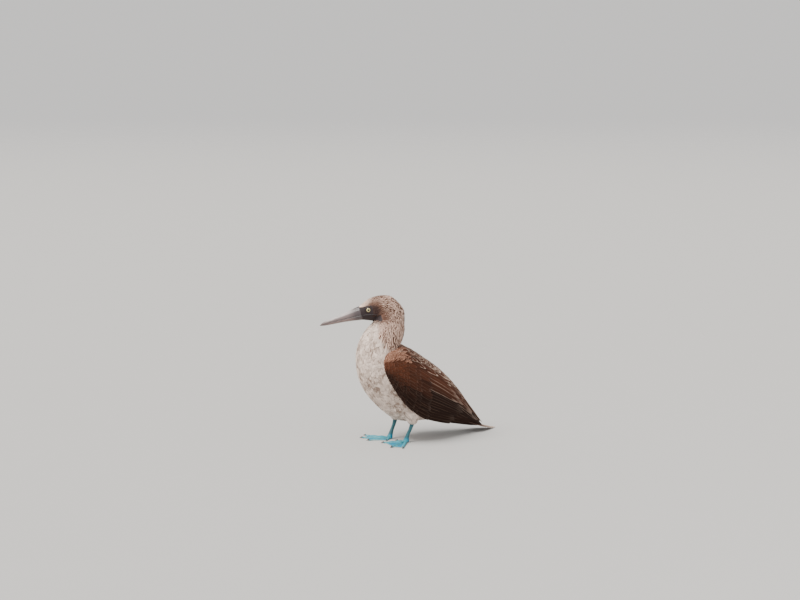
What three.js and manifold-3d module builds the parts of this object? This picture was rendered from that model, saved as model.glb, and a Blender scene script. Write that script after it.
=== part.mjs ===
// A blue-footed booby standing on both feet, life size, in millimetres.
// The frame has +X forward along the body, +Y to the bird's left and +Z up.

import * as THREE from "three";
import { LoftGeometry } from "three/addons/geometries/LoftGeometry.js";
import { mergeVertices } from "three/addons/utils/BufferGeometryUtils.js";
import Module from "manifold-3d";

const wasm = await Module();
wasm.setup();

const radians = THREE.MathUtils.degToRad;
const at = (x, y, z) => new THREE.Vector3(x, y, z);

// Driving dimensions
const GAP = 0.3;
const FINENESS = 0.06;
const BILL_LENGTH = 103;
const MOUTH_HEIGHT = 0;
const HEAD_TURN = radians(-32);
const HEAD_TILT = radians(14);
const HEAD_CENTRE = at(37, 0, 322);
const BILL_START = 55;
const EYE_RADIUS = 8;
const EYE_ALONG = 37;
const EYE_HEIGHT = 9;
const EYE_OUT = 12.4;
const ANKLE_OUT = 27.5;
const ANKLE_STEP = -6;
const FOOT_TOP = 12;
const LEG_TOP = 46;
const THIGH_TOP = 84;
const TOE_FLOOR = 0;

// Body stations from the root of the tail to the top of the neck.
// Each row has the centre x and z, the reach to the back and to the belly, the half width and
// the turn towards the head's heading.
const BODY = [
  [-146, 57, 8, 6, 9, 0],
  [-114, 69, 52, 27, 28, 0],
  [-78, 88, 73, 50, 44, 0],
  [-38, 112, 78, 73, 55, 0],
  [2, 141, 82, 74, 60, 0],
  [34, 172, 76, 69, 61, 0],
  [50, 204, 62, 60, 57, 0],
  [54, 232, 53, 51, 50, -10],
  [50, 258, 54, 40, 42, -22],
  [42, 284, 54, 26, 36, -32],
  [34, 306, 46, 18, 31, -32],
  [31, 321, 37, 14, 25, -32],
  [30, 333, 24, 8, 16, -32],
  [30, 340, 9, 5, 7, -32],
];
const HEAD_NECK_CUT = { at: at(36, 0, 283), tilt: radians(-6) };
const NECK_TORSO_CUT = { at: at(54, 0, 236), tilt: radians(-24) };

// Head stations along the head's axis: the place, the centre's height, the reach up and down
// from there and the half width.
const HEAD = [
  [-43, -20, 5, 5, 5],
  [-37, -12, 14, 16, 15],
  [-24, -3, 27, 27, 22],
  [-6, 1, 31.5, 31, 24.5],
  [12, 2, 33, 29, 24],
  [27, 2, 31.5, 26, 21.5],
  [40, 1, 27.5, 19.5, 18],
  [56, 1, 19.5, 14, 13.5],
  [64, 1, 15, 12, 11],
];

// Bill stations: the share of its length, the reach up and down from the mouth line, half width.
const BILL = [
  [0, 20.5, 12.5, 14],
  [0.12, 18.6, 10.8, 11.6],
  [0.26, 15.4, 9, 9.4],
  [0.38, 12.8, 7.8, 8],
  [0.5, 10.4, 6.8, 6.9],
  [0.74, 7, 5.4, 5],
  [0.9, 4.6, 3.6, 3.2],
  [1, 1.2, 1, 1],
];

// Wing curves from the bend to the tip, for the left side.
const WING_LOW = [
  [76, 40, 190],
  [58, 50, 158],
  [30, 54, 114],
  [-2, 50, 82],
  [-44, 42, 56],
  [-92, 32, 41],
  [-142, 22, 30],
  [-192, 13, 20],
  [-238, 6, 12],
];
const WING_HIGH = [
  [78, 38, 202],
  [58, 46, 226],
  [18, 32, 236],
  [-22, 20, 221],
  [-64, 9, 195],
  [-112, 4, 161],
  [-158, 3, 117],
  [-198, 3, 67],
  [-238, 2, 17],
];
const WING_BULGE = [3, 18, 26, 30, 32, 28, 21, 12, 2];
const WING_DEPTH = [10, 28, 40, 40, 34, 18, 9, 5, 3];
const WING_CORE_END = 0.95;

// A uniform Catmull-Rom curve through rows of numbers, as a function of 0 to 1.
function curve(rows) {
  const width = rows[0].length;
  const parts = [];
  for (let k = 0; k < width; k += 3) {
    const points = rows.map((row) => at(row[k], row[k + 1] ?? 0, row[k + 2] ?? 0));
    parts.push(new THREE.CatmullRomCurve3(points, false, "catmullrom", 0.5));
  }
  return (t) => parts.flatMap((part) => part.getPoint(t).toArray()).slice(0, width);
}

// A closed geometry as a solid, turned to face outwards.
function solid(geometry) {
  const bare = new THREE.BufferGeometry();
  bare.setAttribute("position", geometry.getAttribute("position"));
  bare.setIndex(geometry.index);
  const merged = mergeVertices(bare, 1e-4);
  const place = merged.getAttribute("position").array;
  const kept = [];
  const index = merged.index.array;
  let volume = 0;
  for (let i = 0; i < index.length; i += 3) {
    const [a, b, c] = [index[i], index[i + 1], index[i + 2]];
    if (a === b || b === c || a === c) continue;
    kept.push(a, b, c);
    const [p, q, r] = [a, b, c].map((k) => at(place[3 * k], place[3 * k + 1], place[3 * k + 2]));
    volume += p.dot(q.cross(r));
  }
  if (volume < 0) kept.reverse();
  const mesh = new wasm.Mesh({ numProp: 3, vertProperties: place, triVerts: new Uint32Array(kept) });
  return new wasm.Manifold(mesh);
}

// The largest closed surface of a solid, with any sealed hollow filled.
function largest(made) {
  return made.decompose().reduce((best, one) => (one.volume() > best.volume() ? one : best));
}

const join = (...pieces) => wasm.Manifold.union(pieces);
const cut = (made, ...tools) => tools.reduce((rest, tool) => rest.subtract(tool), made);

// A solid as a named mesh with its material.
function node(name, made, material) {
  const mesh = largest(made.simplify(FINENESS)).getMesh();
  const geometry = new THREE.BufferGeometry();
  const place = new THREE.BufferAttribute(new Float32Array(mesh.vertProperties), 3);
  geometry.setAttribute("position", place);
  geometry.setIndex(new THREE.BufferAttribute(new Uint32Array(mesh.triVerts), 1));
  const shown = new THREE.Mesh(geometry, material);
  shown.name = name;
  return shown;
}

// The direction a ring of points faces, by the right-hand rule.
function facing(ring) {
  const sum = at(0, 0, 0);
  ring.forEach((p, k) => sum.add(p.clone().cross(ring[(k + 1) % ring.length])));
  return sum;
}

// A solid through rings of points, closed by a cap at each end.
function loft(rings) {
  const middle = rings.length >> 1;
  const onward = rings[middle][0].clone().sub(rings[middle - 1][0]);
  const wound = facing(rings[middle]).dot(onward) < 0 ? rings.map((ring) => ring.toReversed()) : rings;
  return solid(new LoftGeometry(wound, { capStart: true, capEnd: true }));
}

// Evenly spaced values from 0 to 1.
const steps = (count) => Array.from({ length: count + 1 }, (_, i) => i / count);

// An oval ring: the reach up and down differ, and the sides have one half width.
function oval(centre, up, side, high, low, half, count) {
  return Array.from({ length: count }, (_, k) => {
    const angle = (2 * Math.PI * k) / count;
    const rise = Math.sin(angle) * (Math.sin(angle) > 0 ? high : low);
    return centre
      .clone()
      .addScaledVector(up, rise)
      .addScaledVector(side, Math.cos(angle) * half);
  });
}

// The body from tail root to neck top, grown by a margin on every side.
function bodySolid(margin, around, along) {
  const profile = curve(BODY);
  const rings = steps(along).map((t) => {
    const [x, z, high, low, half, turn] = profile(t);
    const ahead = profile(Math.min(1, t + 0.01));
    const behind = profile(Math.max(0, t - 0.01));
    const way = at(ahead[0] - behind[0], 0, ahead[1] - behind[1]).normalize();
    const up = at(-way.z, 0, way.x).applyAxisAngle(way, radians(turn));
    const side = new THREE.Vector3().crossVectors(up, way).negate();
    return oval(at(x, 0, z), up, side, high + margin, low + margin, half + margin, around);
  });
  return loft(rings);
}

// The head's own directions: forward along the bill, up and to the left.
const FORWARD = at(Math.cos(HEAD_TURN), Math.sin(HEAD_TURN), -Math.tan(HEAD_TILT)).normalize();
const LEFT = at(-Math.sin(HEAD_TURN), Math.cos(HEAD_TURN), 0);
const UP = new THREE.Vector3().crossVectors(FORWARD, LEFT);
const inHead = (along, height, out) =>
  HEAD_CENTRE.clone()
    .addScaledVector(FORWARD, along)
    .addScaledVector(UP, height)
    .addScaledVector(LEFT, out);

// The part of a solid on the far side of a plane, from a point along a direction.
const beyond = (made, point, way) => made.trimByPlane(way.toArray(), way.dot(point));

function headSolid(around, along) {
  const profile = curve(HEAD);
  const rings = steps(along).map((t) => {
    const [place, height, high, low, half] = profile(t);
    return oval(inHead(place, height, 0), UP, LEFT, high, low, half, around);
  });
  return loft(rings);
}

// One mandible: a half oval above or below the mouth line, flat along it.
function mandible(side, arch, along) {
  const profile = curve(BILL);
  const rings = steps(along).map((t) => {
    const [share, high, low, half] = profile(t);
    const reach = side > 0 ? high : low;
    return Array.from({ length: arch + 1 }, (_, k) => {
      const angle = (Math.PI * k) / arch;
      const out = Math.cos(angle) * half;
      const ridge = Math.sin(angle) ** 0.85 * reach;
      const droop = -1.5 * share ** 6;
      const height = MOUTH_HEIGHT + droop + side * (GAP / 2 + ridge);
      return inHead(BILL_START + GAP + share * BILL_LENGTH, height, out);
    });
  });
  return loft(rings);
}

// Eyeball, for the left with side 1 and the right with side -1.
function eyeball(side, radius) {
  const ball = new THREE.SphereGeometry(radius, 16, 10);
  const centre = inHead(EYE_ALONG, EYE_HEIGHT, side * EYE_OUT);
  return solid(ball.translate(centre.x, centre.y, centre.z));
}

// Both lids as one ring round the eye.
function lids(side) {
  const ring = new THREE.TorusGeometry(6.3, 1.5, 5, 16);
  const way = LEFT.clone().multiplyScalar(side);
  const turn = new THREE.Quaternion().setFromUnitVectors(at(0, 0, 1), way);
  const centre = inHead(EYE_ALONG, EYE_HEIGHT, side * (EYE_OUT + 5));
  return solid(ring.applyQuaternion(turn).translate(centre.x, centre.y, centre.z));
}

// The outer face of a folded wing: s runs from the bend to the tip, t from the lower edge up.
const wingLow = curve(WING_LOW);
const wingHigh = curve(WING_HIGH);
const wingBulge = curve(WING_BULGE.map((value, k) => [value, WING_DEPTH[k], 0]));
function wingPoint(s, t) {
  const arch = (4 * t * (1 - t)) ** 0.6;
  const lift = at(0, wingBulge(s)[0] * arch, 0);
  return at(...wingLow(s)).lerp(at(...wingHigh(s)), t).add(lift);
}

// The outer face's own directions at a place: outwards and up across the wing.
function wingFrame(s, t) {
  const step = 0.004;
  const along = wingPoint(Math.min(1, s + step), t).sub(wingPoint(Math.max(0, s - step), t));
  const across = wingPoint(s, Math.min(1, t + step)).sub(wingPoint(s, Math.max(0, t - step)));
  const slope = across.length() / (Math.min(1, t + step) - Math.max(0, t - step));
  return { out: new THREE.Vector3().crossVectors(across, along).normalize(), slope };
}

// One wing's body under its vanes, as a closed form.
function wingCore(side, along, across) {
  const rings = steps(along).map((share) => {
    const s = share * WING_CORE_END;
    const depth = wingBulge(s)[1];
    const outer = steps(across).map((t) => wingPoint(s, t));
    const inner = steps(across)
      .slice(1, -1)
      .reverse()
      .map((t) => wingPoint(s, t).add(at(0, -depth * (4 * t * (1 - t)) ** 0.4, 0)));
    return [...outer, ...inner].map((p) => at(p.x, side * p.y, p.z));
  });
  return loft(rings);
}

// Tiers of vanes on a wing, from the bend back. Each has how many vanes, the share of the wing's
// length where they start and end at the lowest and the highest vane, the lowest and highest
// place across, the width and the rise of the tip.
const WING_TIERS = [
  { name: "lesser coverts", count: 4, from: [0.1, 0.07], to: [0.26, 0.22], low: 0.2, high: 0.78, width: 32, rise: 1.3 },
  { name: "median coverts", count: 5, from: [0.22, 0.18], to: [0.4, 0.36], low: 0.12, high: 0.8, width: 32, rise: 1.5 },
  { name: "greater coverts", count: 5, from: [0.34, 0.29], to: [0.54, 0.5], low: 0.11, high: 0.76, width: 31, rise: 1.7 },
  { name: "secondaries", count: 5, from: [0.42, 0.42], to: [0.68, 0.78], low: 0.1, high: 0.6, width: 25, rise: 1.9 },
  { name: "tertials", count: 4, from: [0.42, 0.4], to: [0.84, 0.9], low: 0.6, high: 0.9, width: 22, rise: 2.6 },
  { name: "scapulars", count: 3, from: [0.26, 0.34], to: [0.5, 0.64], low: 0.86, high: 0.94, width: 22, rise: 2.2 },
  { name: "primaries", count: 4, from: [0.62, 0.68], to: [0.9, 1], low: 0.2, high: 0.62, width: 18, rise: 1.2 },
];
const VANE_STATIONS = [0, 0.3, 0.65, 0.9, 1];
const VANE_WIDTHS = [0.8, 1, 0.98, 0.68, 0.28];
const VANE_ROOT_DEPTH = -0.5;
const VANE_SINK = 1.7;
const VANE_ROLL = 0.45;

// Numbers from 0 to 1 that look random and come out alike each time.
function draws(seed) {
  let state = seed;
  return () => {
    state = (Math.imul(state, 1664525) + 1013904223) >>> 0;
    return state / 2 ** 32;
  };
}

// One vane that lies along the wing, sunk at its root and raised at its tip.
function wingVane(side, start, end, place, width, rise) {
  const rings = VANE_STATIONS.map((share, k) => {
    const s = start + (end - start) * share;
    const { slope } = wingFrame(s, place);
    const reach = Math.min((width * VANE_WIDTHS[k]) / 2 / slope, 0.3);
    const corner = (edge, lift) => {
      const t = THREE.MathUtils.clamp(place + edge * reach, 0.02, 0.98);
      const p = wingPoint(s, t).addScaledVector(wingFrame(s, t).out, lift - edge * VANE_ROLL);
      return at(p.x, side * p.y, p.z);
    };
    const top = THREE.MathUtils.lerp(VANE_ROOT_DEPTH, rise, share);
    return [corner(-1, top), corner(1, top), corner(1, -VANE_SINK), corner(-1, -VANE_SINK)];
  });
  return loft(rings);
}

// All the vanes of one wing, with small seeded differences in length and place.
function wingVanes(side) {
  const draw = draws(side > 0 ? 11 : 23);
  return WING_TIERS.flatMap(({ count, from, to, low, high, width, rise }) =>
    steps(count - 1).map((share) => {
      const shift = 0.012 * (draw() - 0.5);
      const start = THREE.MathUtils.lerp(...from, share) + shift;
      const end = Math.min(1, THREE.MathUtils.lerp(...to, share) + 2 * shift);
      const place = THREE.MathUtils.lerp(low, high, share) + 0.01 * (draw() - 0.5);
      return wingVane(side, start, end, place, width * (0.95 + 0.1 * draw()), rise);
    })
  );
}

// The folded tail: its middle line from root to tip, and the half width and half depth of the
// body under the vanes.
const TAIL_LENGTH = 164;
const TAIL_START = at(-120, 0, 60);
const TAIL_TIP_HEIGHT = 1;
const TAIL_CORE = [
  [14, 8],
  [19, 6],
  [20, 4],
  [18, 2.8],
  [13, 1.8],
  [5, 1],
];
const TAIL_PAIRS = 6;
const TAIL_FAN = radians(1.75);
const TAIL_VANE = { width: 14, thick: 1.2, apart: 1.1, drop: 0.7, shorter: 0.062 };
const TAIL_WIDTHS = [0.75, 0.95, 1, 0.7, 0.12];

function tailLine(share) {
  const height = (TAIL_START.z - TAIL_TIP_HEIGHT) * (1 - share) ** 1.25 + TAIL_TIP_HEIGHT;
  return at(TAIL_START.x - TAIL_LENGTH * share, 0, height);
}

function tailCore(margin) {
  const shape = curve(TAIL_CORE.map((row) => [...row, 0]));
  const rings = steps(8).map((t) => {
    const [half, thick] = shape(t);
    const centre = tailLine(t * 0.86);
    return oval(centre, at(0, 0, 1), at(0, 1, 0), thick + margin, thick + margin, half + margin, 14);
  });
  return loft(rings);
}

// One tail vane: pair 0 is the middle and topmost, and the outer ones lie lower and are shorter.
function tailVane(pair, side, margin) {
  const { width, thick, apart, drop, shorter } = TAIL_VANE;
  const length = 1 - shorter * pair - (side > 0 ? 0 : 0.012);
  const rings = VANE_STATIONS.map((share, k) => {
    const reach = share * length;
    const centre = tailLine(reach);
    centre.y = side * (apart * (pair + 0.5) + Math.tan(TAIL_FAN * pair) * TAIL_LENGTH * reach);
    centre.z += 1.6 * (1 - share) + thick / 2 - drop * pair - (side > 0 ? 0 : 0.3);
    const half = (width * TAIL_WIDTHS[k]) / 2 + margin;
    const deep = thick / 2 + margin;
    return [[-1, 1], [1, 1], [1, -1], [-1, -1]].map(([across, up]) =>
      centre.clone().add(at(0, across * half, up * deep))
    );
  });
  return loft(rings);
}

function tailSolid(margin) {
  const vanes = [];
  for (let pair = 0; pair < TAIL_PAIRS; pair++)
    for (const side of [1, -1]) vanes.push(tailVane(pair, side, margin));
  return join(tailCore(margin), ...vanes).trimByPlane([0, 0, 1], TOE_FLOOR);
}

// The feathered thigh and the bare leg under it.
const LEG_PATH = [
  [-17, 27, 98, 12, 9],
  [-17, 31, 80, 23, 19],
  [-18, 33, 64, 19, 16.5],
  [-17, 34, 46, 9.5, 8.5],
];
const SHANK_PATH = [
  [-17, 34, 52, 6, 5],
  [-15.5, 33.5, 44, 5.6, 4.6],
  [-11, 31.5, 32, 4.8, 3.9],
  [-5, 29.5, 20, 5, 4],
  [-1, 28, 10, 6.2, 5.4],
  [0, 27.5, 5, 6, 6],
];

function limb(path, side, around, along, margin = 0) {
  const profile = curve(path);
  const rings = steps(along).map((t) => {
    const [x, y, z, length, width] = profile(t);
    const centre = at(x + side * ANKLE_STEP * (1 - z / THIGH_TOP), side * y, z);
    const [long, wide] = [length + margin, width + margin];
    return oval(centre, at(1, 0, 0), at(0, 1, 0), long, long, wide, around);
  });
  return loft(rings);
}

// Toes of each foot: the length with no claw, the girth and the angle outwards from straight
// ahead on the left and on the right foot.
const TOES = [
  { name: "outer", length: 66, girth: 3.6, left: 51, right: 60 },
  { name: "middle", length: 66, girth: 3.8, left: 27, right: 37 },
  { name: "inner", length: 54, girth: 3.5, left: -22, right: 8 },
  { name: "hind", length: 24, girth: 2.8, left: -64, right: -40 },
];
const CLAW_LENGTH = 7.5;

function toeWay(toe, side) {
  const angle = radians(side > 0 ? toe.left : toe.right);
  return at(Math.cos(angle), side * Math.sin(angle), 0);
}
const heel = (side) => at(side * ANKLE_STEP, side * ANKLE_OUT, 0);

function toeSolid(toe, side) {
  const way = toeWay(toe, side);
  const across = at(-way.y, way.x, 0);
  const rings = steps(7).map((t) => {
    const knuckle = 1 + 0.13 * Math.cos(6 * Math.PI * t);
    const radius = toe.girth * (1.15 - 0.5 * t) * knuckle;
    const centre = heel(side).addScaledVector(way, toe.length * t);
    return oval(centre.setZ(radius * 0.75), at(0, 0, 1), across, radius, radius, radius * 1.1, 8);
  });
  return loft(rings).trimByPlane([0, 0, 1], TOE_FLOOR);
}

function clawSolid(toe, side) {
  const way = toeWay(toe, side);
  const across = at(-way.y, way.x, 0);
  const rings = steps(4).map((t) => {
    const radius = toe.girth * 0.62 * (1 - t) ** 0.7 + 0.25;
    const reach = toe.length + GAP + CLAW_LENGTH * t;
    const centre = heel(side).addScaledVector(way, reach);
    centre.z = 2.6 - 1.7 * t * t + 0.2;
    return oval(centre, at(0, 0, 1), across, radius, radius, radius * 0.8, 8);
  });
  return loft(rings).trimByPlane([0, 0, 1], 0.2);
}

// The web between the toes, with an edge that curves in between their tips.
function webSolid(side) {
  const start = heel(side);
  const shape = new THREE.Shape().moveTo(start.x - 3, start.y);
  const tips = TOES.map((toe) => start.clone().addScaledVector(toeWay(toe, side), toe.length - 3));
  tips.forEach((tip, k) => {
    if (k === 0) shape.lineTo(tip.x, tip.y);
    else {
      const middle = tips[k - 1].clone().add(tip).multiplyScalar(0.5).lerp(start, 0.14);
      shape.quadraticCurveTo(middle.x, middle.y, tip.x, tip.y);
    }
  });
  shape.closePath();
  const sheet = new THREE.ExtrudeGeometry(shape, { depth: 1.5, bevelEnabled: false, curveSegments: 4 });
  return solid(sheet.translate(0, 0, 0.4));
}

function footSolid(side) {
  const knob = new THREE.SphereGeometry(7, 12, 8).scale(1, 0.95, 1);
  const joint = solid(knob.translate(side * ANKLE_STEP, side * ANKLE_OUT, 5.2));
  const stem = limb(SHANK_PATH, side, 12, 8);
  const parts = join(joint, stem, webSolid(side), ...TOES.map((toe) => toeSolid(toe, side)));
  return parts.trimByPlane([0, 0, -1], -FOOT_TOP).trimByPlane([0, 0, 1], TOE_FLOOR);
}

// Materials
const plumage = (colour) =>
  new THREE.MeshStandardMaterial({ color: colour, roughness: 0.85, metalness: 0 });
const COLOURS = {
  streaked: plumage(0xa58a78),
  white: plumage(0xd8cbc0),
  brown: plumage(0x3f2218),
  tail: plumage(0x6b4a3a),
  horn: new THREE.MeshStandardMaterial({ color: 0x6f6068, roughness: 0.45, metalness: 0 }),
  eye: new THREE.MeshStandardMaterial({ color: 0xd9d2a0, roughness: 0.1, metalness: 0 }),
  blue: new THREE.MeshStandardMaterial({ color: 0x3fa9c4, roughness: 0.45, metalness: 0 }),
  claw: new THREE.MeshStandardMaterial({ color: 0x8c8a86, roughness: 0.5, metalness: 0 }),
};

function build() {
  const bird = new THREE.Group();
  const body = bodySolid(0, 28, 24);
  const clear = bodySolid(GAP, 28, 24);

  const tilted = (tilt) => at(Math.sin(tilt), 0, Math.cos(tilt));
  const headUp = tilted(HEAD_NECK_CUT.tilt);
  const neckUp = tilted(NECK_TORSO_CUT.tilt);
  const lifted = (point, way) => point.clone().addScaledVector(way, GAP);
  const whole = join(body, beyond(headSolid(24, 14), inHead(BILL_START, 0, 0), FORWARD.clone().negate()));
  let head = beyond(whole, lifted(HEAD_NECK_CUT.at, headUp), headUp);
  head = beyond(head, inHead(BILL_START, 0, 0), FORWARD.clone().negate());
  head = cut(join(head, lids(1), lids(-1)), eyeball(1, EYE_RADIUS + GAP), eyeball(-1, EYE_RADIUS + GAP));
  const lower = beyond(whole, HEAD_NECK_CUT.at, headUp.clone().negate());
  const neck = beyond(lower, lifted(NECK_TORSO_CUT.at, neckUp), neckUp);
  const torso = beyond(lower, NECK_TORSO_CUT.at, neckUp.clone().negate());

  bird.add(node("head", head, COLOURS.streaked));
  bird.add(node("neck", neck, COLOURS.streaked));
  bird.add(node("torso", torso, COLOURS.white));
  bird.add(node("upper_bill", mandible(1, 10, 9), COLOURS.horn));
  bird.add(node("lower_bill", mandible(-1, 6, 8), COLOURS.horn));

  bird.add(node("tail", cut(tailSolid(0), clear), COLOURS.tail));
  const tailClear = tailSolid(GAP);

  for (const [label, side] of [["left", 1], ["right", -1]]) {
    bird.add(node(`${label}_eye`, eyeball(side, EYE_RADIUS), COLOURS.eye));
    const thigh = limb(LEG_PATH, side, 16, 6).trimByPlane([0, 0, 1], LEG_TOP + GAP);
    const thighClear = limb(LEG_PATH, side, 16, 6, GAP);
    const wing = join(wingCore(side, 14, 8), ...wingVanes(side)).trimByPlane([0, side, 0], GAP / 2);
    bird.add(node(`${label}_wing`, cut(wing, clear, tailClear, thighClear), COLOURS.brown));
    bird.add(node(`${label}_thigh`, cut(thigh, clear), COLOURS.white));
    const leg = limb(SHANK_PATH, side, 12, 8)
      .trimByPlane([0, 0, -1], -LEG_TOP)
      .trimByPlane([0, 0, 1], FOOT_TOP + GAP);
    bird.add(node(`${label}_leg`, leg, COLOURS.blue));
    bird.add(node(`${label}_foot`, footSolid(side), COLOURS.blue));
    for (const toe of TOES)
      bird.add(node(`${label}_${toe.name}_claw`, clawSolid(toe, side), COLOURS.claw));
  }
  return bird;
}

// Moves the whole group so that the middle of the bottom of its box is the origin.
function centred(group) {
  const box = new THREE.Box3().setFromObject(group, true);
  const middle = box.getCenter(at(0, 0, 0));
  for (const piece of group.children) piece.geometry.translate(-middle.x, -middle.y, -box.min.z);
  return group;
}

export default centred(build());
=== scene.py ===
"""The looks of a life-size museum model of a blue-footed booby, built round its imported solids.

Lengths in the tables are millimetres in the solids' own first frame, with the middle of the
two ankles on the floor at the origin; `place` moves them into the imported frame, in metres.
"""

from collections import namedtuple

import bpy
import numpy as np
from mathutils import Matrix, Vector
from mathutils.bvhtree import BVHTree
from mathutils.kdtree import KDTree


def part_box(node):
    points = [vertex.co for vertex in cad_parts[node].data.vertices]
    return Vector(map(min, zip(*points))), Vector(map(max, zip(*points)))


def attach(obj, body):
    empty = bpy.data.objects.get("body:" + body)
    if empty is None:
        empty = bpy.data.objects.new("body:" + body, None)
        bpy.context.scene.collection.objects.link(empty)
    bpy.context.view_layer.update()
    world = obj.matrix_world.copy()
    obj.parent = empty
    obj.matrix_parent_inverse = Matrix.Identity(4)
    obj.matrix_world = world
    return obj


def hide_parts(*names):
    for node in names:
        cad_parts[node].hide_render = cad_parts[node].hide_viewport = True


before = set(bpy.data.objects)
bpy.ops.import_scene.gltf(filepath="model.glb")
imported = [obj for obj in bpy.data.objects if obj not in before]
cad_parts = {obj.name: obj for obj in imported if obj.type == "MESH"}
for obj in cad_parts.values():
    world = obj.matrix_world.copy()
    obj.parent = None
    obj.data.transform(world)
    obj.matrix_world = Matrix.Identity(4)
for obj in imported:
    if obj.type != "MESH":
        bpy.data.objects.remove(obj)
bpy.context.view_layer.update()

# Sizes shared with the solids

# The body's path from the tail to the crown: ahead, height, reach on the side of the back and of
# the belly, half width, and the degrees that a ring is turned about the path
BODY = [
    (-146, 57, 8, 6, 9, 0),
    (-114, 69, 52, 27, 28, 0),
    (-78, 88, 73, 50, 44, 0),
    (-38, 112, 78, 73, 55, 0),
    (2, 141, 82, 74, 60, 0),
    (34, 172, 76, 69, 61, 0),
    (50, 204, 62, 60, 57, 0),
    (54, 232, 53, 51, 50, -10),
    (50, 258, 54, 40, 42, -22),
    (42, 284, 54, 26, 36, -32),
    (34, 306, 46, 18, 31, -32),
    (31, 321, 37, 14, 25, -32),
    (30, 333, 24, 8, 16, -32),
    (30, 340, 9, 5, 7, -32),
]
# From the nape to the bill: place along the head, height of its axis, reach up and down, half width
HEAD = [
    (-43, -20, 5, 5, 5),
    (-37, -12, 14, 16, 15),
    (-24, -3, 27, 27, 22),
    (-6, 1, 31.5, 31, 24.5),
    (12, 2, 33, 29, 24),
    (27, 2, 31.5, 26, 21.5),
    (40, 1, 27.5, 19.5, 18),
    (56, 1, 19.5, 14, 13.5),
    (64, 1, 15, 12, 11),
]
# Share of the bill's length, reach up and down, half width
BILL = [
    (0, 20.5, 12.5, 14),
    (0.12, 18.6, 10.8, 11.6),
    (0.26, 15.4, 9, 9.4),
    (0.38, 12.8, 7.8, 8),
    (0.5, 10.4, 6.8, 6.9),
    (0.74, 7, 5.4, 5),
    (0.9, 4.6, 3.6, 3.2),
    (1, 1.2, 1, 1),
]
# The folded wing's lower and upper edge from its bend to its tip, how far its face stands out
# between them, and how thick it is
WING_LOW = [
    (76, 40, 190),
    (58, 50, 158),
    (30, 54, 114),
    (-2, 50, 82),
    (-44, 42, 56),
    (-92, 32, 41),
    (-142, 22, 30),
    (-192, 13, 20),
    (-238, 6, 12),
]
WING_HIGH = [
    (78, 38, 202),
    (58, 46, 226),
    (18, 32, 236),
    (-22, 20, 221),
    (-64, 9, 195),
    (-112, 4, 161),
    (-158, 3, 117),
    (-198, 3, 67),
    (-238, 2, 17),
]
WING_BULGE = [(3,), (18,), (26,), (30,), (32,), (28,), (21,), (12,), (2,)]
WING_DEPTH = [(10,), (28,), (40,), (40,), (34,), (18,), (9,), (5,), (3,)]
WING_CORE_END = 0.95
# Down a leg: ahead, out from the middle, height, half the length and half the width of a ring
THIGH = [
    (-17, 27, 98, 12, 9),
    (-17, 31, 80, 23, 19),
    (-18, 33, 64, 19, 16.5),
    (-17, 34, 46, 9.5, 8.5),
]
SHANK = [
    (-17, 34, 54, 5.6, 4.8),
    (-15.5, 33.5, 44, 5.6, 4.6),
    (-11, 31.5, 32, 4.8, 3.9),
    (-5, 29.5, 20, 5, 4),
    (-1, 28, 10, 6.2, 5.4),
    (0, 27.5, 4, 6, 6),
]
THIGH_TOP = 84
ANKLE_STEP = -6
ANKLE_OUT = 27.5
# A toe's angles on each foot are the degrees that it points out from straight ahead
Toe = namedtuple("Toe", "name length radius left_angle right_angle")
TOES = [
    Toe("outer", 66, 3.6, 51, 60),
    Toe("middle", 66, 3.8, 27, 37),
    Toe("inner", 54, 3.5, -22, 8),
    Toe("hind", 24, 2.8, -64, -40),
]
CLAW_LENGTH = 7.5
TAIL_LENGTH = 164
TAIL_START = (-120, 0, 60)
TAIL_TIP_HEIGHT = 1
HEAD_CENTRE = np.array([37.0, 0, 322])
HEAD_TURN = np.radians(-32)
HEAD_TILT = np.radians(14)
BILL_START = 55
BILL_LENGTH = 103
EYE_PLACE = (37, 9, 12.4)
EYE_RADIUS = 8

# The camera, from the photograph: its place from the ankles, its heading, pitch and lens
CAMERA_PLACE = np.array([2155.2, 3458.0, 900.0])
CAMERA_TURN = np.radians(32)
CAMERA_PITCH = np.arctan(238 / 1733)
CAMERA_LENS = 1733 / 800 * 36
VIEW_RIGHT = np.array([-np.cos(CAMERA_TURN), np.sin(CAMERA_TURN), 0])
VIEW_AHEAD = np.array([-np.sin(CAMERA_TURN), -np.cos(CAMERA_TURN), 0])

AHEAD, ASIDE, UPWARDS = np.eye(3)

random = np.random.default_rng(7)


def unit(v):
    """Vectors of length one."""
    return v / np.maximum(np.linalg.norm(v, axis=-1, keepdims=True), 1e-12)


# The head's own directions
FORWARD = unit(np.array([np.cos(HEAD_TURN), np.sin(HEAD_TURN), -np.tan(HEAD_TILT)]))
LEFT = np.array([-np.sin(HEAD_TURN), np.cos(HEAD_TURN), 0])
UP = np.cross(FORWARD, LEFT)


def in_head(along, height, out):
    """A place in the head's own directions."""
    parts = np.asarray(along)[..., None] * FORWARD + np.asarray(height)[..., None] * UP
    return HEAD_CENTRE + parts + np.asarray(out)[..., None] * LEFT


def shift():
    """From the tables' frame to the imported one, found from the middle of the two eyes."""
    boxes = [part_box(name) for name in ("left_eye", "right_eye")]
    middle = np.mean([[list(low), list(high)] for low, high in boxes], axis=(0, 1))
    return middle - in_head(EYE_PLACE[0], EYE_PLACE[1], 0.0) / 1000


SHIFT = shift()


def place(points):
    """Millimetres in the tables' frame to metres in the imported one."""
    return np.asarray(points) / 1000 + SHIFT


def in_tables(points):
    """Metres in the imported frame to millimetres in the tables' one."""
    return (points - SHIFT) * 1000


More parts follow.
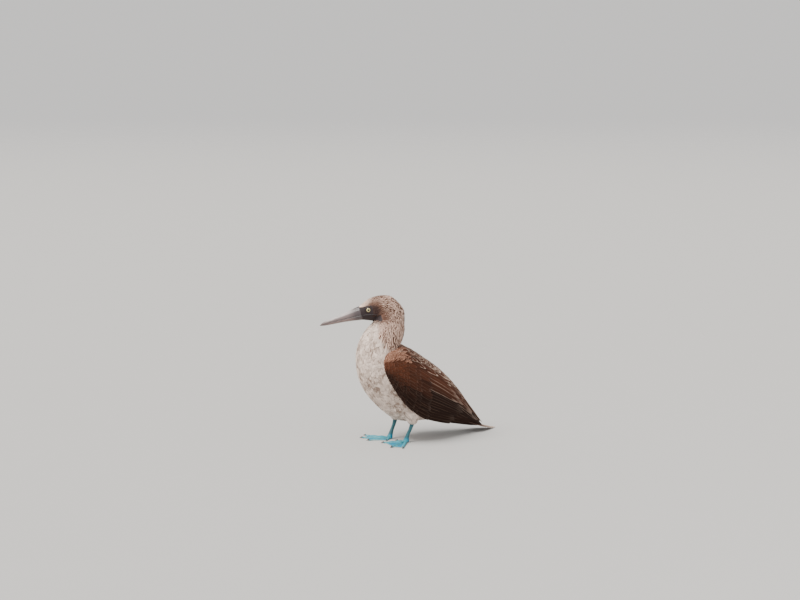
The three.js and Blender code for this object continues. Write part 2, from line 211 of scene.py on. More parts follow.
def curve(rows, t):
    """A uniform Catmull-Rom curve through rows, at t from 0 to 1: cubic pieces whose slope at a
    row is half the step between its neighbours."""
    table = np.array(rows, float)
    table = np.vstack([2 * table[0] - table[1], table, 2 * table[-1] - table[-2]])
    spot = np.clip(np.asarray(t, float), 0, 1) * (len(rows) - 1)
    k = np.minimum(spot.astype(int), len(rows) - 2)
    w = (spot - k)[..., None]
    a, b, c, d = (table[k + i] for i in range(4))
    m, n = (c - a) / 2, (d - b) / 2
    from_b = (2 * w**3 - 3 * w**2 + 1) * b + (w**3 - 2 * w**2 + w) * m
    return from_b + (3 * w**2 - 2 * w**3) * c + (w**3 - w**2) * n


def smooth(low, high, x):
    """0 below low, 1 above high, eased between them."""
    t = np.clip((x - low) / (high - low), 0, 1)
    return t * t * (3 - 2 * t)


def mix(a, b, share):
    """From colour a to colour b by a share, or by one for each row or place of a grid."""
    return a + (b - a) * np.asarray(share)[..., None]


def grid_faces(rows, columns, ring=False, loop=False):
    """Quads of a grid of points. A ring joins its last column to the first, a loop its rows."""
    i, j = np.meshgrid(np.arange(rows - (not loop)), np.arange(columns - (not ring)), indexing="ij")
    below, beside = (i + 1) % rows * columns, (j + 1) % columns
    quads = np.stack([i * columns + j, i * columns + beside, below + beside, below + j], -1)
    return quads.reshape(-1, 4)


def facing_out(points, faces):
    """The faces, turned over if the closed shape's volume comes out negative."""
    a, b, c, d = (points[faces[:, i]] for i in range(4))
    d = np.where(faces[:, 3:] < 0, a, d)
    volume = (a * np.cross(b, c)).sum() + (a * np.cross(c, d)).sum()
    return faces if volume >= 0 else faces[:, [2, 1, 0, 3]]


def capped(rings):
    """A closed loft: rings of points joined in order, with a fan of faces to a middle point at
    each end. Returns its points in metres and its faces, which point outwards."""
    rows, columns = rings.shape[:2]
    rings = place(rings)
    points = np.concatenate([rings.reshape(-1, 3), rings[:1].mean(1), rings[-1:].mean(1)])
    j = np.arange(columns)
    k = (j + 1) % columns
    end, middle, none = (rows - 1) * columns, np.full(columns, rows * columns), np.full(columns, -1)
    start_fan = np.stack([middle, k, j, none], -1)
    end_fan = np.stack([middle + 1, end + j, end + k, none], -1)
    faces = np.concatenate([grid_faces(rows, columns, ring=True), start_fan, end_fan])
    return points, facing_out(points, faces)


def oval(centre, up, side, high, low, half, count):
    """A ring about each centre: the sine of the angle times the reach up or down, and the cosine
    times the half width."""
    angle = 2 * np.pi * np.arange(count) / count
    sine, cosine = np.sin(angle), np.cos(angle)
    up, side = (np.broadcast_to(way, centre.shape)[:, None] for way in (up, side))
    rise = np.where(sine > 0, sine * high[:, None], sine * low[:, None])[..., None]
    return centre[:, None] + rise * up + (cosine * half[:, None])[..., None] * side


def in_scene(name, data):
    """An object of some data, in the scene."""
    holder = bpy.data.objects.new(name, data)
    bpy.context.scene.collection.objects.link(holder)
    return holder


def new_piece(name, points, faces, material, layers=None, bake_map=None):
    """A mesh object from points in metres and faces of four corners (-1 for a missing fourth).
    Its layers have one value for each point, a number or a colour."""
    mesh = bpy.data.meshes.new(name)
    mesh.vertices.add(len(points))
    mesh.vertices.foreach_set("co", np.ascontiguousarray(points, np.float32).ravel())
    corners, sizes = faces[faces >= 0], (faces >= 0).sum(1)
    mesh.loops.add(len(corners))
    mesh.loops.foreach_set("vertex_index", corners.astype(np.int32))
    mesh.polygons.add(len(faces))
    mesh.polygons.foreach_set("loop_start", (np.cumsum(sizes) - sizes).astype(np.int32))
    mesh.polygons.foreach_set("loop_total", sizes.astype(np.int32))
    mesh.polygons.foreach_set("use_smooth", np.ones(len(faces), bool))
    for label, values in (layers or {}).items():
        if values.ndim == 1:
            layer = mesh.attributes.new(label, "FLOAT", "POINT")
            layer.data.foreach_set("value", values.astype(np.float32))
        else:
            rest = np.ones((len(values), 4 - values.shape[1]))
            colours = np.concatenate([values, rest], 1).astype(np.float32)
            layer = mesh.color_attributes.new(label, "FLOAT_COLOR", "POINT")
            layer.data.foreach_set("color", colours.ravel())
    if bake_map is not None:
        layer = mesh.uv_layers.new(name="OFBake")
        layer.data.foreach_set("uv", bake_map[corners].astype(np.float32).ravel())
    mesh.update()
    mesh.validate()
    mesh.materials.append(material)
    return in_scene(name, mesh)


def one_skin(forms, voxel, rounds):
    """The outer skin of overlapping lofts, as one even mesh of quads that is smoothed in some
    rounds. Returns its points in metres and its faces."""
    points, faces, base = [], [], 0
    for form in forms:
        p, f = capped(form)
        points.append(p)
        faces.append(np.where(f < 0, -1, f + base))
        base += len(p)
    rough = new_piece("rough", np.concatenate(points), np.concatenate(faces), None)
    grid = rough.modifiers.new("one skin", "REMESH")
    grid.mode = "VOXEL"
    grid.voxel_size = voxel
    even = rough.modifiers.new("even", "SMOOTH")
    even.factor = 0.5
    even.iterations = rounds
    mesh = rough.evaluated_get(bpy.context.evaluated_depsgraph_get()).to_mesh()
    points = np.empty(len(mesh.vertices) * 3, np.float32)
    mesh.vertices.foreach_get("co", points)
    corners = np.empty(len(mesh.loops), np.int32)
    mesh.loops.foreach_get("vertex_index", corners)
    bpy.data.objects.remove(rough)
    return points.reshape(-1, 3).astype(float), corners.reshape(-1, 4).astype(int)


def nearest(spots, points):
    """For each point the index of the nearest spot, and how far off it is."""
    tree = KDTree(len(spots))
    for k, spot in enumerate(spots):
        tree.insert(spot, k)
    tree.balance()
    found = [tree.find(p) for p in points]
    return np.array([hit[1] for hit in found]), np.array([hit[2] for hit in found])


# Forms under the coat

BODY_AROUND = 96
HEAD_AROUND = 72
SKIN_DEPTH = 2.0
HEAD_DEPTH = 1.0
THIGH_DEPTH = 1.2
SKIN_VOXEL = 0.0015
SKIN_ROUNDS = 9


def body_rings(t, margin):
    """Rings of the body at stations t, each across its path and turned about it, grown or sunk
    by a margin."""
    x, z, high, low, half, turn = curve(BODY, t).T
    ahead, behind = curve(BODY, np.minimum(1, t + 0.01)), curve(BODY, np.maximum(0, t - 0.01))
    way = unit(np.stack([ahead[:, 0] - behind[:, 0], 0 * x, ahead[:, 1] - behind[:, 1]], 1))
    flat = np.stack([-way[:, 2], 0 * x, way[:, 0]], 1)
    turn = np.radians(turn)[:, None]
    up = flat * np.cos(turn) + np.cross(way, flat) * np.sin(turn)
    centre = np.stack([x, 0 * x, z], 1)
    return oval(centre, up, np.cross(way, up), high + margin, low + margin, half + margin, BODY_AROUND)


def head_rings(t, margin):
    """Rings of the head along its axis, sunk by a margin that runs out at the naked face."""
    along, height, high, low, half = curve(HEAD, t).T
    margin = margin * smooth(34, 20, along)
    centre = in_head(along, height, 0 * along)
    return oval(centre, UP, LEFT, high + margin, low + margin, half + margin, HEAD_AROUND)


def limb_rings(table, side, t, margin, count):
    """Level rings down a leg, whose foot stands a step ahead or behind."""
    x, y, z, length, width = curve(table, t).T
    centre = np.stack([x + side * ANKLE_STEP * (1 - z / THIGH_TOP), side * y, z], 1)
    return oval(centre, AHEAD, ASIDE, length + margin, length + margin, width + margin, count)


def skin_mesh():
    """Body, head and thighs as closed lofts, sunk by the coat's depth and made one skin."""
    forms = [body_rings(np.linspace(0, 1, 70), -SKIN_DEPTH)]
    forms.append(head_rings(np.linspace(0, 0.95, 60), -HEAD_DEPTH))
    for side in (1, -1):
        forms.append(limb_rings(THIGH, side, np.linspace(0, 1, 24), -THIGH_DEPTH, 40))
    return one_skin(forms, SKIN_VOXEL, SKIN_ROUNDS)


# Faces that vanes lie on

FACE_STEP = 0.006
WING_SINK = 1.9


def measured(point_of, s, t):
    """A place on a face of two parameters, the unit cross product of its slopes there, and how
    many mm it runs for each share of the second one."""
    before, after = np.clip(s - FACE_STEP, 0, 1), np.clip(s + FACE_STEP, 0, 1)
    along = point_of(after, t) - point_of(before, t)
    across = point_of(s, t + FACE_STEP) - point_of(s, t - FACE_STEP)
    slope = np.linalg.norm(across, axis=-1) / (2 * FACE_STEP)
    return point_of(s, t), unit(np.cross(along, across)), slope


def wing_point(s, t):
    """The wing's outer face: between the curves of its lower and upper edge, arched outwards."""
    arch = (4 * t * (1 - t)) ** 0.6
    low, high = curve(WING_LOW, s), curve(WING_HIGH, s)
    point = low + (high - low) * np.asarray(t)[..., None]
    point[..., 1] += curve(WING_BULGE, s)[..., 0] * arch
    return point


def wing_face(s, t):
    """A place on the wing's outer face, the direction out of it and the wing's height there."""
    return measured(wing_point, s, np.clip(t, 0.015, 0.985))


def back_point(s, w):
    """The back between the folded wings: across it, from one wing's upper edge at w -1 to the
    other's at 1, the height falls from the middle with the power 2.2 of w."""
    high, edge = curve(WING_HIGH, s), wing_point(s, 0.9 + 0 * s)
    off = np.abs(w)[..., None]
    point = high + (edge - high) * off**2
    point[..., 2] = high[..., 2] + 3.5 + (edge[..., 2] - high[..., 2] - 1.5) * off[..., 0] ** 2.2
    point[..., 1] = edge[..., 1] * w
    return point


def back_face(s, w):
    """A place on the back, the direction out of it and its width there."""
    point, inwards, slope = measured(back_point, s, np.clip(w, -1.05, 1.05))
    return point, -inwards, slope


def wing_core(side):
    """Rings of the wing under its feathers: its outer face, sunk, and an inner one."""
    s, t = np.meshgrid(np.linspace(0, WING_CORE_END, 60), np.linspace(0, 1, 25), indexing="ij")
    face, out, _ = wing_face(s, t)
    outer = face - out * WING_SINK
    inner = outer.copy()
    inner[..., 1] -= curve(WING_DEPTH, s)[..., 0] * (4 * t * (1 - t)) ** 0.4
    rings = np.concatenate([outer, inner[:, -2:0:-1]], 1)
    rings[..., 1] = side * np.maximum(rings[..., 1], 0.4)
    return rings


# Vanes

VANE_COLUMNS = 7
VANE_SINK = 0.9
COAT_ROWS = 6
COAT_COLUMNS = 5
COAT_SINK = 0.35
COAT_RAGGED = 0.14
COAT_CAMBER = 0.16


def vane_grid(rows, columns):
    """Shares along and across one vane, on a grid of rows, which close up towards the tip, and
    columns."""
    along = 1 - (1 - np.linspace(0, 1, rows)) ** 1.6
    return np.meshgrid(along, np.linspace(-1, 1, columns), indexing="ij")


def each_vane(*values):
    """Values for each vane, shaped to meet the grid of one."""
    return (np.asarray(value, float)[:, None, None] for value in values)


def rounded(share, point):
    """Half width along a vane: it swells from the root, stays wide and closes to a tip."""
    return (1 - (1 - np.clip(share / 0.35, 0, 1)) ** 2 * 0.4) * (1 - share**point) ** 0.5


def vanes_on(face, start, end, low, high, width, rise, shape, rows, roll=0.5):
    """Vanes laid on a face: each grid of points runs from start to end and from low to high on it,
    and lies sunk at its root and raised by `rise` at its tip, one edge lower than the other."""
    v, u = vane_grid(rows, VANE_COLUMNS)
    start, end, low, high, width, rise = each_vane(start, end, low, high, width, rise)
    half = width / 2 * rounded(v, shape)
    s = np.clip(start + (end - start) * v, 0, 1)
    t = low + (high - low) * v
    _, _, slope = face(s, t)
    point, out, _ = face(s, t + u * np.minimum(half / slope, 0.5))
    lift = (rise + VANE_SINK) * v - VANE_SINK
    lift = lift - roll * u * (0.4 + 0.6 * v) + 0.05 * half * (1 - u**2)
    return point + out * lift[..., None]


def on_skin(tree, spots):
    """The places of the skin that are nearest to some spots, and the ways out of it there."""
    found = [tree.find_nearest(spot)[:2] for spot in spots.tolist()]
    return np.array(found).transpose(1, 0, 2)


def body_vanes(tree, roots, normals, ways, lengths, widths, rises, shapes):
    """Feathers of the body: each is a cambered blade on a quadratic curve from its root, sunk a
    little, to the skin under its tip, raised by its rise. The ragged tip comes from columns that
    run on or fall short. Also returns which of them lie well."""
    v, u = vane_grid(COAT_ROWS, COAT_COLUMNS)
    ways = unit(ways - normals * (ways * normals).sum(1, keepdims=True))
    tips, tip_out = on_skin(tree, roots + ways * lengths[:, None])
    fits = (tip_out * ways).sum(1) > -0.3
    reach = tips + tip_out * rises[:, None] - roots
    middle = roots + reach / 2 + normals * (0.12 * lengths + 0.5 * rises)[:, None] * 0.5
    start, end = roots - normals * COAT_SINK, roots + reach
    start, middle, end = each_vane(start, middle, end)
    way, side = each_vane(ways, unit(np.cross(ways, normals)))
    root_out, tip_out = each_vane(normals, tip_out)
    widths, lengths, shapes = each_vane(widths, lengths, shapes)
    ragged = random.uniform(-COAT_RAGGED, COAT_RAGGED, (len(roots), 1, COAT_COLUMNS)) * lengths
    run = v[..., None]
    line = start * (1 - run) ** 2 + end * run**2 + 2 * middle * run * (1 - run)
    line = line + way * (ragged * v**3 * (1 - v**8))[..., None]
    half = widths / 2 * rounded(v, shapes)
    out = root_out * (1 - run) + tip_out * run
    return line + side * (half * u)[..., None] - out * (COAT_CAMBER * half * u**2)[..., None], fits


# Lie and markings of the coat

BODY_GRID = np.linspace(0, 1, 120)
FINEST_CELL = 0.2
CELL_OFFSET = 0.37
BAKE_PATCH = 0.003

WHITE = np.array([0.90, 0.74, 0.64])
MOTTLE = np.array([0.20, 0.125, 0.09])
STREAK = np.array([0.055, 0.019, 0.010])
PALE = np.array([0.88, 0.61, 0.49])
CHEEK = np.array([0.17, 0.09, 0.065])
FACE = np.array([0.026, 0.017, 0.018])
MANTLE = np.array([0.15, 0.075, 0.05])
FRINGE = np.array([0.44, 0.31, 0.24])

# Along the body's path, the height round it where the brown of the back begins
BROWN_FROM = (
    [0, 0.2, 0.31, 0.46, 0.54, 0.615, 0.69, 0.77],
    [0, 0.2, 0.35, 0.45, 0.28, -0.05, -0.4, -0.75],
)


def noise(points, size, seed):
    """Value noise from 0 to 1: random values on a lattice of the given size, eased between. The
    three large primes, the shift and the mask turn a lattice place into its random value."""
    spot = points / size
    base = np.floor(spot).astype(np.int64)
    w = spot - base
    w = w * w * (3 - 2 * w)
    total = 0
    for corner in np.ndindex(2, 2, 2):
        c = base + corner
        mixed = (c[:, 0] * 73856093) ^ (c[:, 1] * 19349663) ^ (c[:, 2] * 83492791) ^ (seed * 2654435761)
        mixed = (mixed ^ (mixed >> 13)) * 1274126177 & 0xFFFFFFFF
        share = np.prod(np.where(np.array(corner) == 1, w, 1 - w), axis=1)
        total = total + share * (mixed & 0xFFFF) / 0xFFFF
    return total


def lie_of(points):
    """For places of the skin: the share along the body's path, the height round it from -1 at the
    belly to 1 at the back, the share round it, and the way towards the tail."""
    rings = body_rings(BODY_GRID, -SKIN_DEPTH).reshape(-1, 3)
    index, _ = nearest(rings, points)
    row, column = index // BODY_AROUND, index % BODY_AROUND
    centre = curve(BODY, BODY_GRID)
    path = np.stack([centre[:, 0], 0 * BODY_GRID, centre[:, 1]], 1)
    back_way = -unit(np.gradient(path, axis=0))
    rise = np.sin(2 * np.pi * column / BODY_AROUND)
    return BODY_GRID[row], rise, column / BODY_AROUND, back_way[row]


def head_share(points):
    """Places in the head's directions, and how much each belongs to the head: all of it from
    the nape forwards and above the throat."""
    gap = points - HEAD_CENTRE
    along, height, out = gap @ FORWARD, gap @ UP, gap @ LEFT
    mine = smooth(-34, -12, along) * smooth(-31, -20, height)
    mine = np.maximum(mine, smooth(10, 18, height) * smooth(-40, -30, along))
    return along, height, out, mine


def bare(along, height):
    """The naked face: from the bill back past the eye, and the strip below it to the gape."""
    lores = smooth(25, 30, along - 0.02 * (height - 9) ** 2) * smooth(19.5, 16.5, height)
    gape = smooth(9, 15, along) * smooth(-7, -11, height) * smooth(-24.5, -20.5, height)
    return np.maximum(lores, gape)


def markings(points, lie):
    """For places of the skin: the edge colour and the middle colour of a feather there, how wide
    its middle streak is, how pale its tip, how naked the place is, and how brown."""
    share, rise, _, _ = lie
    along, height, _, mine = head_share(points)
    grain = noise(points, 7, 3) - 0.5
    patch = noise(points, 22, 5) - 0.5

    start = np.interp(share, *BROWN_FROM)
    brown = smooth(start - 0.16, start + 0.14, rise + 0.2 * grain)
    mantle = brown * smooth(0.56, 0.46, share)
    soft = np.clip(0.33 + 1.5 * grain + 0.5 * patch, 0.04, 0.8) * smooth(0.75, 0.6, share)
    edge = mix(mix(WHITE, MOTTLE, 0.32 * soft), PALE, brown * (1 - mantle))
    edge = mix(edge, FRINGE, mantle)
    middle = mix(mix(WHITE, MOTTLE, soft), STREAK, brown * np.clip(1 + 0.5 * grain, 0.8, 1))
    middle = mix(middle, MANTLE, mantle)

    crown = smooth(42, 24, along)
    from_eye = np.hypot(along - 28, height - 4)
    dark = smooth(-6, 8, along) * smooth(2, -8, height) * smooth(-30, -22, height)
    dark = np.maximum(dark, 0.9 * smooth(26, 16, from_eye))
    by_eye = 0.8 * smooth(17, 11, np.hypot(along - 30, height - 4))
    head_edge = mix(mix(WHITE * 0.92, PALE * 0.84, crown), CHEEK * 1.2, dark)
    head_middle = mix(PALE, STREAK, crown * np.clip(1 + 0.5 * grain, 0.78, 1))
    head_middle = mix(head_middle, CHEEK * 0.6, dark)
    edge = mix(edge, mix(head_edge, FACE * 1.8, by_eye), mine)
    middle = mix(middle, mix(head_middle, FACE, by_eye), mine)

    lined = np.maximum(brown * (1 - mantle), mine) * (1 - 0.7 * dark * mine)
    width = 0.5 + 0.2 * mantle + (0.5 - 0.2 * lined) * grain + 0.15 * patch
    width = width + lined * (0.14 * mine * smooth(-16, 6, along) - 0.04)
    tip = 0.5 * mantle + 0.8 * np.maximum(brown, mine) * (1 - mantle)
    naked = bare(along, height) * smooth(0.1, 0.3, mine + 0.5 * grain)
    return edge, middle, width, tip, naked, brown


def skin_colour(points):
    """The skin carries the coat's markings, in spots as fine as its feathers."""
    edge, middle, width, _, naked, _ = markings(points, lie_of(points))
    spots = noise(points, 3.2, 11)
    colour = mix(edge, middle, smooth(0.62, 0.42, spots + 0.2 - 0.5 * width))
    return mix(colour, FACE, smooth(0.06, 0.22, naked))


def feather_length(points):
    """How long the feathers are, in mm: shortest round the bill, longest on the belly and back."""
    along, height, _, mine = head_share(points)
    head = 4.5 + 5 * smooth(45, 10, along) + 6 * smooth(5, -25, along)
    head = head - 1.8 * smooth(16, 6, np.hypot(along - 26, height - 8))
    head = head - 2.2 * smooth(22, 10, np.abs(along - 14) + np.abs(height + 18))
    low = smooth(300, 215, points[:, 2])
    body = 13.5 + 3.5 * low - 8 * smooth(75, 48, points[:, 2]) * smooth(-80, -40, points[:, 0])
    body = body + 2.5 * smooth(215, 250, points[:, 2])
    body = body * (1 - 0.6 * smooth(-52, -26, height) * smooth(-30, -8, along))
    return mine * head + (1 - mine) * body


def spacing(points):
    """A share of the feathers' length, closer on the breast than on the streaked neck."""
    return feather_length(points) * (0.25 + 0.12 * smooth(205, 245, points[:, 2]))


def even_spots(points, faces, tries):
    """Roots spread over a mesh: random places by area, of which each cell as large as the spacing
    there keeps one. The cells come in sizes that grow by a third of an octave."""
    a, b, c, d = (points[faces[:, k]] for k in range(4))
    area = np.linalg.norm(np.cross(c - a, d - b), axis=1)
    chosen = random.choice(len(faces), tries, p=area / area.sum())
    x, y = random.random((2, tries, 1))
    a, b, c, d = a[chosen], b[chosen], c[chosen], d[chosen]
    spots = (a * (1 - x) + b * x) * (1 - y) + (d * (1 - x) + c * x) * y
    level = np.round(np.log2(spacing(spots)[:, None] / FINEST_CELL) * 3)
    cell = np.floor(spots / (FINEST_CELL * 2 ** (level / 3)) + CELL_OFFSET).astype(np.int64)
    key = np.concatenate([cell, level.astype(np.int64)], 1)
    _, first = np.unique(key, axis=0, return_index=True)
    return spots[first]


def hidden_by_wing(points):
    """Whether a place of the skin lies well inside a folded wing's outline, under its face."""
    s, t = np.meshgrid(np.linspace(0.02, WING_CORE_END, 70), np.linspace(0.02, 0.98, 30), indexing="ij")
    spots = wing_point(s, t).reshape(-1, 3)
    seen_from_side = AHEAD + UPWARDS
    index, gap = nearest(spots * seen_from_side, points * seen_from_side)
    s, t = s.ravel()[index], t.ravel()[index]
    inside = (t > 0.07) & (t < 0.95) & (s > 0.045)
    return (gap < 5) & inside & (np.abs(points[:, 1]) < spots[index, 1] - 0.5)


def coat_map(points, lie):
    """Where feathers bake: at their root's place on the skin, unrolled along the body's path and
    round it, and above that the head's, along its axis and round it."""
    share, _, around, _ = lie
    along, height, out, mine = head_share(points)
    right = np.where(mine > 0.5, 0.5 + 0.45 * np.arctan2(out, height + 2) / np.pi, around)
    up = np.where(mine > 0.5, 0.82 + 0.16 * (along + 45) / 110, 0.02 + 0.78 * share)
    return np.stack([right, up], 1) * 0.99 + BAKE_PATCH


# Materials

class Socket:
    """A socket whose sums, differences and products add the Math nodes that work them out."""

    def __init__(self, nodes, socket):
        self.nodes, self.socket = nodes, socket

    def maths(self, operation, *others):
        return self.nodes.add("ShaderNodeMath", {"operation": operation}, [self, *others])

    def __add__(self, other):
        return self.maths("ADD", other)

    def __sub__(self, other):
        return self.maths("SUBTRACT", other)

    def __mul__(self, other):
        return self.maths("MULTIPLY", other)

    def __rsub__(self, other):
        return self.nodes.add("ShaderNodeMath", {"operation": "SUBTRACT"}, [other, self])

    __radd__, __rmul__ = __add__, __mul__


class Nodes:
    """A material's nodes, made one at a time from their type, settings and inputs."""

    def __init__(self, name):
        self.material = bpy.data.materials.new(name)
        self.material.use_nodes = True
        self.tree = self.material.node_tree
        self.shader = self.tree.nodes["Principled BSDF"]

    def add(self, kind, settings=None, inputs=(), output=0):
        node = self.tree.nodes.new(kind)
        for key, value in (settings or {}).items():
            setattr(node, key, value)
        pairs = inputs.items() if isinstance(inputs, dict) else enumerate(inputs)
        for key, value in pairs:
            self.put(node.inputs[key], value)
        return Socket(self, node.outputs[output])

    def put(self, target, value):
        if isinstance(value, Socket):
            self.tree.links.new(value.socket, target)
        else:
            target.default_value = value

    def blend(self, share, a, b):
        """Colour a where the share is 0 and b where it is 1."""
        settings = {"data_type": "RGBA", "blend_type": "MIX"}
        return self.add("ShaderNodeMix", settings, {0: share, 6: a, 7: b}, 2)

    def ramp(self, value, low, high):
        """0 below low, 1 above high, eased between."""
        settings = {"interpolation_type": "SMOOTHSTEP"}
        return self.add("ShaderNodeMapRange", settings, {"Value": value, "From Min": low, "From Max": high})

    def where(self):
        return self.add("ShaderNodeTexCoord", output="Object")

    def grain(self, scale, detail=3.0, stretch=None):
        """Noise from 0 to 1 on Object coordinates, at a scale per metre."""
        where = self.where()
        if stretch is not None:
            where = self.add("ShaderNodeMapping", None, {"Vector": where, "Scale": stretch})
        inputs = {"Vector": where, "Scale": scale, "Detail": detail}
        return self.add("ShaderNodeTexNoise", None, inputs, "Fac")

    def attribute(self, name, output="Fac"):
        return self.add("ShaderNodeAttribute", {"attribute_name": name}, (), output)

    def tint(self):
        return self.attribute("tint", "Color")

    def bump(self, height, strength, distance):
        inputs = {"Height": height, "Strength": strength, "Distance": distance}
        return self.add("ShaderNodeBump", None, inputs)

    def finish(self, values):
        """Gives the shader its values and links, and returns the material."""
        for name, value in values.items():
            self.put(self.shader.inputs[name], value)
        return self.material


def rgb(*values):
    return (*values, 1.0)


def feather_material(name, roughness, barb, shaft, soft):
    """Each vane has its own edge and middle colour, in the mesh. The middle one runs along the
    shaft, as wide as the mesh says, and stops short of a pale tip; fine barbs slant from it."""
    m = Nodes(name)
    across, along, chance = (m.attribute(label) for label in ("across", "along", "chance"))
    off = across.maths("ABSOLUTE")
    fine, coarse = m.grain(700.0, 2.0), m.grain(160.0, 2.0)
    barbs = ((along - off * 0.35 + fine * 0.03) * barb).maths("SINE") * 0.5 + 0.5
    width = m.attribute("core", "Alpha") + coarse * 0.3 - 0.15
    tip = m.ramp(along + coarse * 0.1, 0.86, 1.0) * m.attribute("tint", "Alpha")
    streak = m.ramp(off - width, soft, -soft) * (1.0 - tip)
    shade = m.blend(streak, m.tint(), m.attribute("core", "Color"))
    shade = m.blend(barbs * 0.2 + fine * 0.2, shade, m.blend(0.6, shade, rgb(0.012, 0.007, 0.005)))
    if shaft:
        shade = m.blend(m.ramp(off, 0.09, 0.03) * shaft, shade, rgb(0.3, 0.2, 0.14))
    return m.finish({
        "Base Color": m.blend(chance * 0.14, shade, rgb(0.02, 0.012, 0.01)),
        "Roughness": roughness,
        "Specular IOR Level": 0.06,
        "Normal": m.bump(barbs * 0.6 + m.ramp(off, 0.14, 0.0), 0.3, 0.0003),
    })


def skin_material():
    """The skin under the coat, in the coat's own colours, naked and finely creased at the face."""
    m = Nodes("skin in the coat's colours")
    return m.finish({
        "Base Color": m.tint(),
        "Roughness": 0.62,
        "Specular IOR Level": 0.25,
        "Normal": m.bump(m.grain(1400.0, 4.0), 0.5, 0.0004),
    })


def horn_material():
    """Slate horn, in the mesh's own colours, which carry a painted highlight along the top, and finely
    streaked.
    """
    m = Nodes("bill horn")
    streak = m.grain(420.0, 5.0, (0.25, 0.25, 1.0))
    return m.finish({
        "Base Color": m.blend(m.ramp(streak, 0.35, 0.75) * 0.4, m.tint(), rgb(0.09, 0.075, 0.08)),
        "Roughness": streak * 0.2 + 0.3,
        "Coat Weight": 0.25,
        "Coat Roughness": 0.3,
        "Normal": m.bump(streak, 0.3, 0.0004),
    })


def foot_material():
    """Turquoise skin: small netted scales, faint where the mesh says that it is smooth web."""
    m = Nodes("blue foot skin")
    edges = {"feature": "DISTANCE_TO_EDGE"}
    net = m.add("ShaderNodeTexVoronoi", edges, {"Vector": m.where(), "Scale": 760.0}, "Distance")
    line = 1.0 - (1.0 - m.ramp(net, 0.0, 0.12)) * (m.attribute("scaly") * 0.65 + 0.35)
    dark = m.blend(0.35, m.tint(), rgb(0.01, 0.12, 0.2))
    colour = m.blend(line, dark, m.tint())
    return m.finish({
        "Base Color": m.blend(m.grain(60.0) * 0.12, colour, rgb(0.05, 0.50, 0.62)),
        "Roughness": m.grain(300.0) * 0.2 + 0.32,
        "Specular IOR Level": 0.3,
        "Coat Weight": 0.08,
        "Coat Roughness": 0.25,
        "Normal": m.bump(line, 0.6, 0.0005),
    })


def eye_material():
    """A wet eye: the mesh's own iris, pupil and rim colours under a clear gloss."""
    m = Nodes("wet eye")
    fibres = m.ramp(m.grain(1500.0, 3.0), 0.4, 0.8)
    return m.finish({
        "Base Color": m.blend(fibres * 0.25, m.tint(), rgb(0.12, 0.1, 0.05)),
        "Roughness": 0.2,
        "Specular IOR Level": 0.3,
        "Coat Weight": 0.6,
        "Coat Roughness": 0.03,
    })


def plain_material(name, colour, roughness):
    """One colour all over."""
    return Nodes(name).finish({"Base Color": rgb(*colour), "Roughness": roughness})


BODY_FEATHER = feather_material("soft body feather", 0.85, 40.0, 0.0, 0.3)
STREAKED_FEATHER = feather_material("streaked head feather", 0.85, 40.0, 0.0, 0.12)
WING_FEATHER = feather_material("brown wing feather", 0.6, 150.0, 0.2, 0.12)
SKIN = skin_material()
HORN = horn_material()
BLUE = foot_material()
EYE = eye_material()
CLAW = plain_material("claw horn", (0.09, 0.08, 0.075), 0.4)
LID = plain_material("dark lid", (0.03, 0.026, 0.03), 0.5)


# Pieces

def carried(piece, finish, *nodes):
    """Rides a piece on the body, in the place of the nodes it stands for."""
    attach(piece, "root")
    if nodes:
        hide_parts(*nodes)


def closed_piece(name, rings, material, finish, *nodes, colour=None):
    """A piece that is one closed loft, with one colour or a colour for each point of its rings."""
    points, faces = capped(rings)
    layers = {}
    if colour is not None:
        colours = np.broadcast_to(colour, rings.shape).reshape(-1, 3)
        layers["tint"] = np.concatenate([colours, colours[:1], colours[-1:]])
    carried(new_piece(name, points, faces, material, layers), finish, *nodes)


def vane_piece(name, point, edge, tip, middle, width, root, material, finish):
    """One piece of many vanes. Each has its edge colour with how pale its tip is, its middle
    colour with how wide that is, its own chance, and a small patch round its root's place on the
    bake map."""
    count, rows, columns = point.shape[:3]
    spots = rows * columns
    faces = grid_faces(rows, columns) + (np.arange(count) * spots)[:, None, None]
    v, u = vane_grid(rows, columns)
    layers = {
        "tint": np.repeat(np.column_stack([edge, np.broadcast_to(tip, count)]), spots, 0),
        "core": np.repeat(np.column_stack([middle, np.broadcast_to(width, count)]), spots, 0),
        "across": np.tile(u.ravel(), count),
        "along": np.tile(v.ravel(), count),
        "chance": np.repeat(random.random(count), spots),
    }
    bake_map = root[:, None, None] + np.stack([u / 2, v - 0.5], -1) * BAKE_PATCH
    points = place(point).reshape(-1, 3)
    piece = new_piece(name, points, faces.reshape(-1, 4), material, layers, bake_map.reshape(-1, 2))
    carried(piece, finish)


COAT_TRIES = 150000
BACK_TRIES = 30000


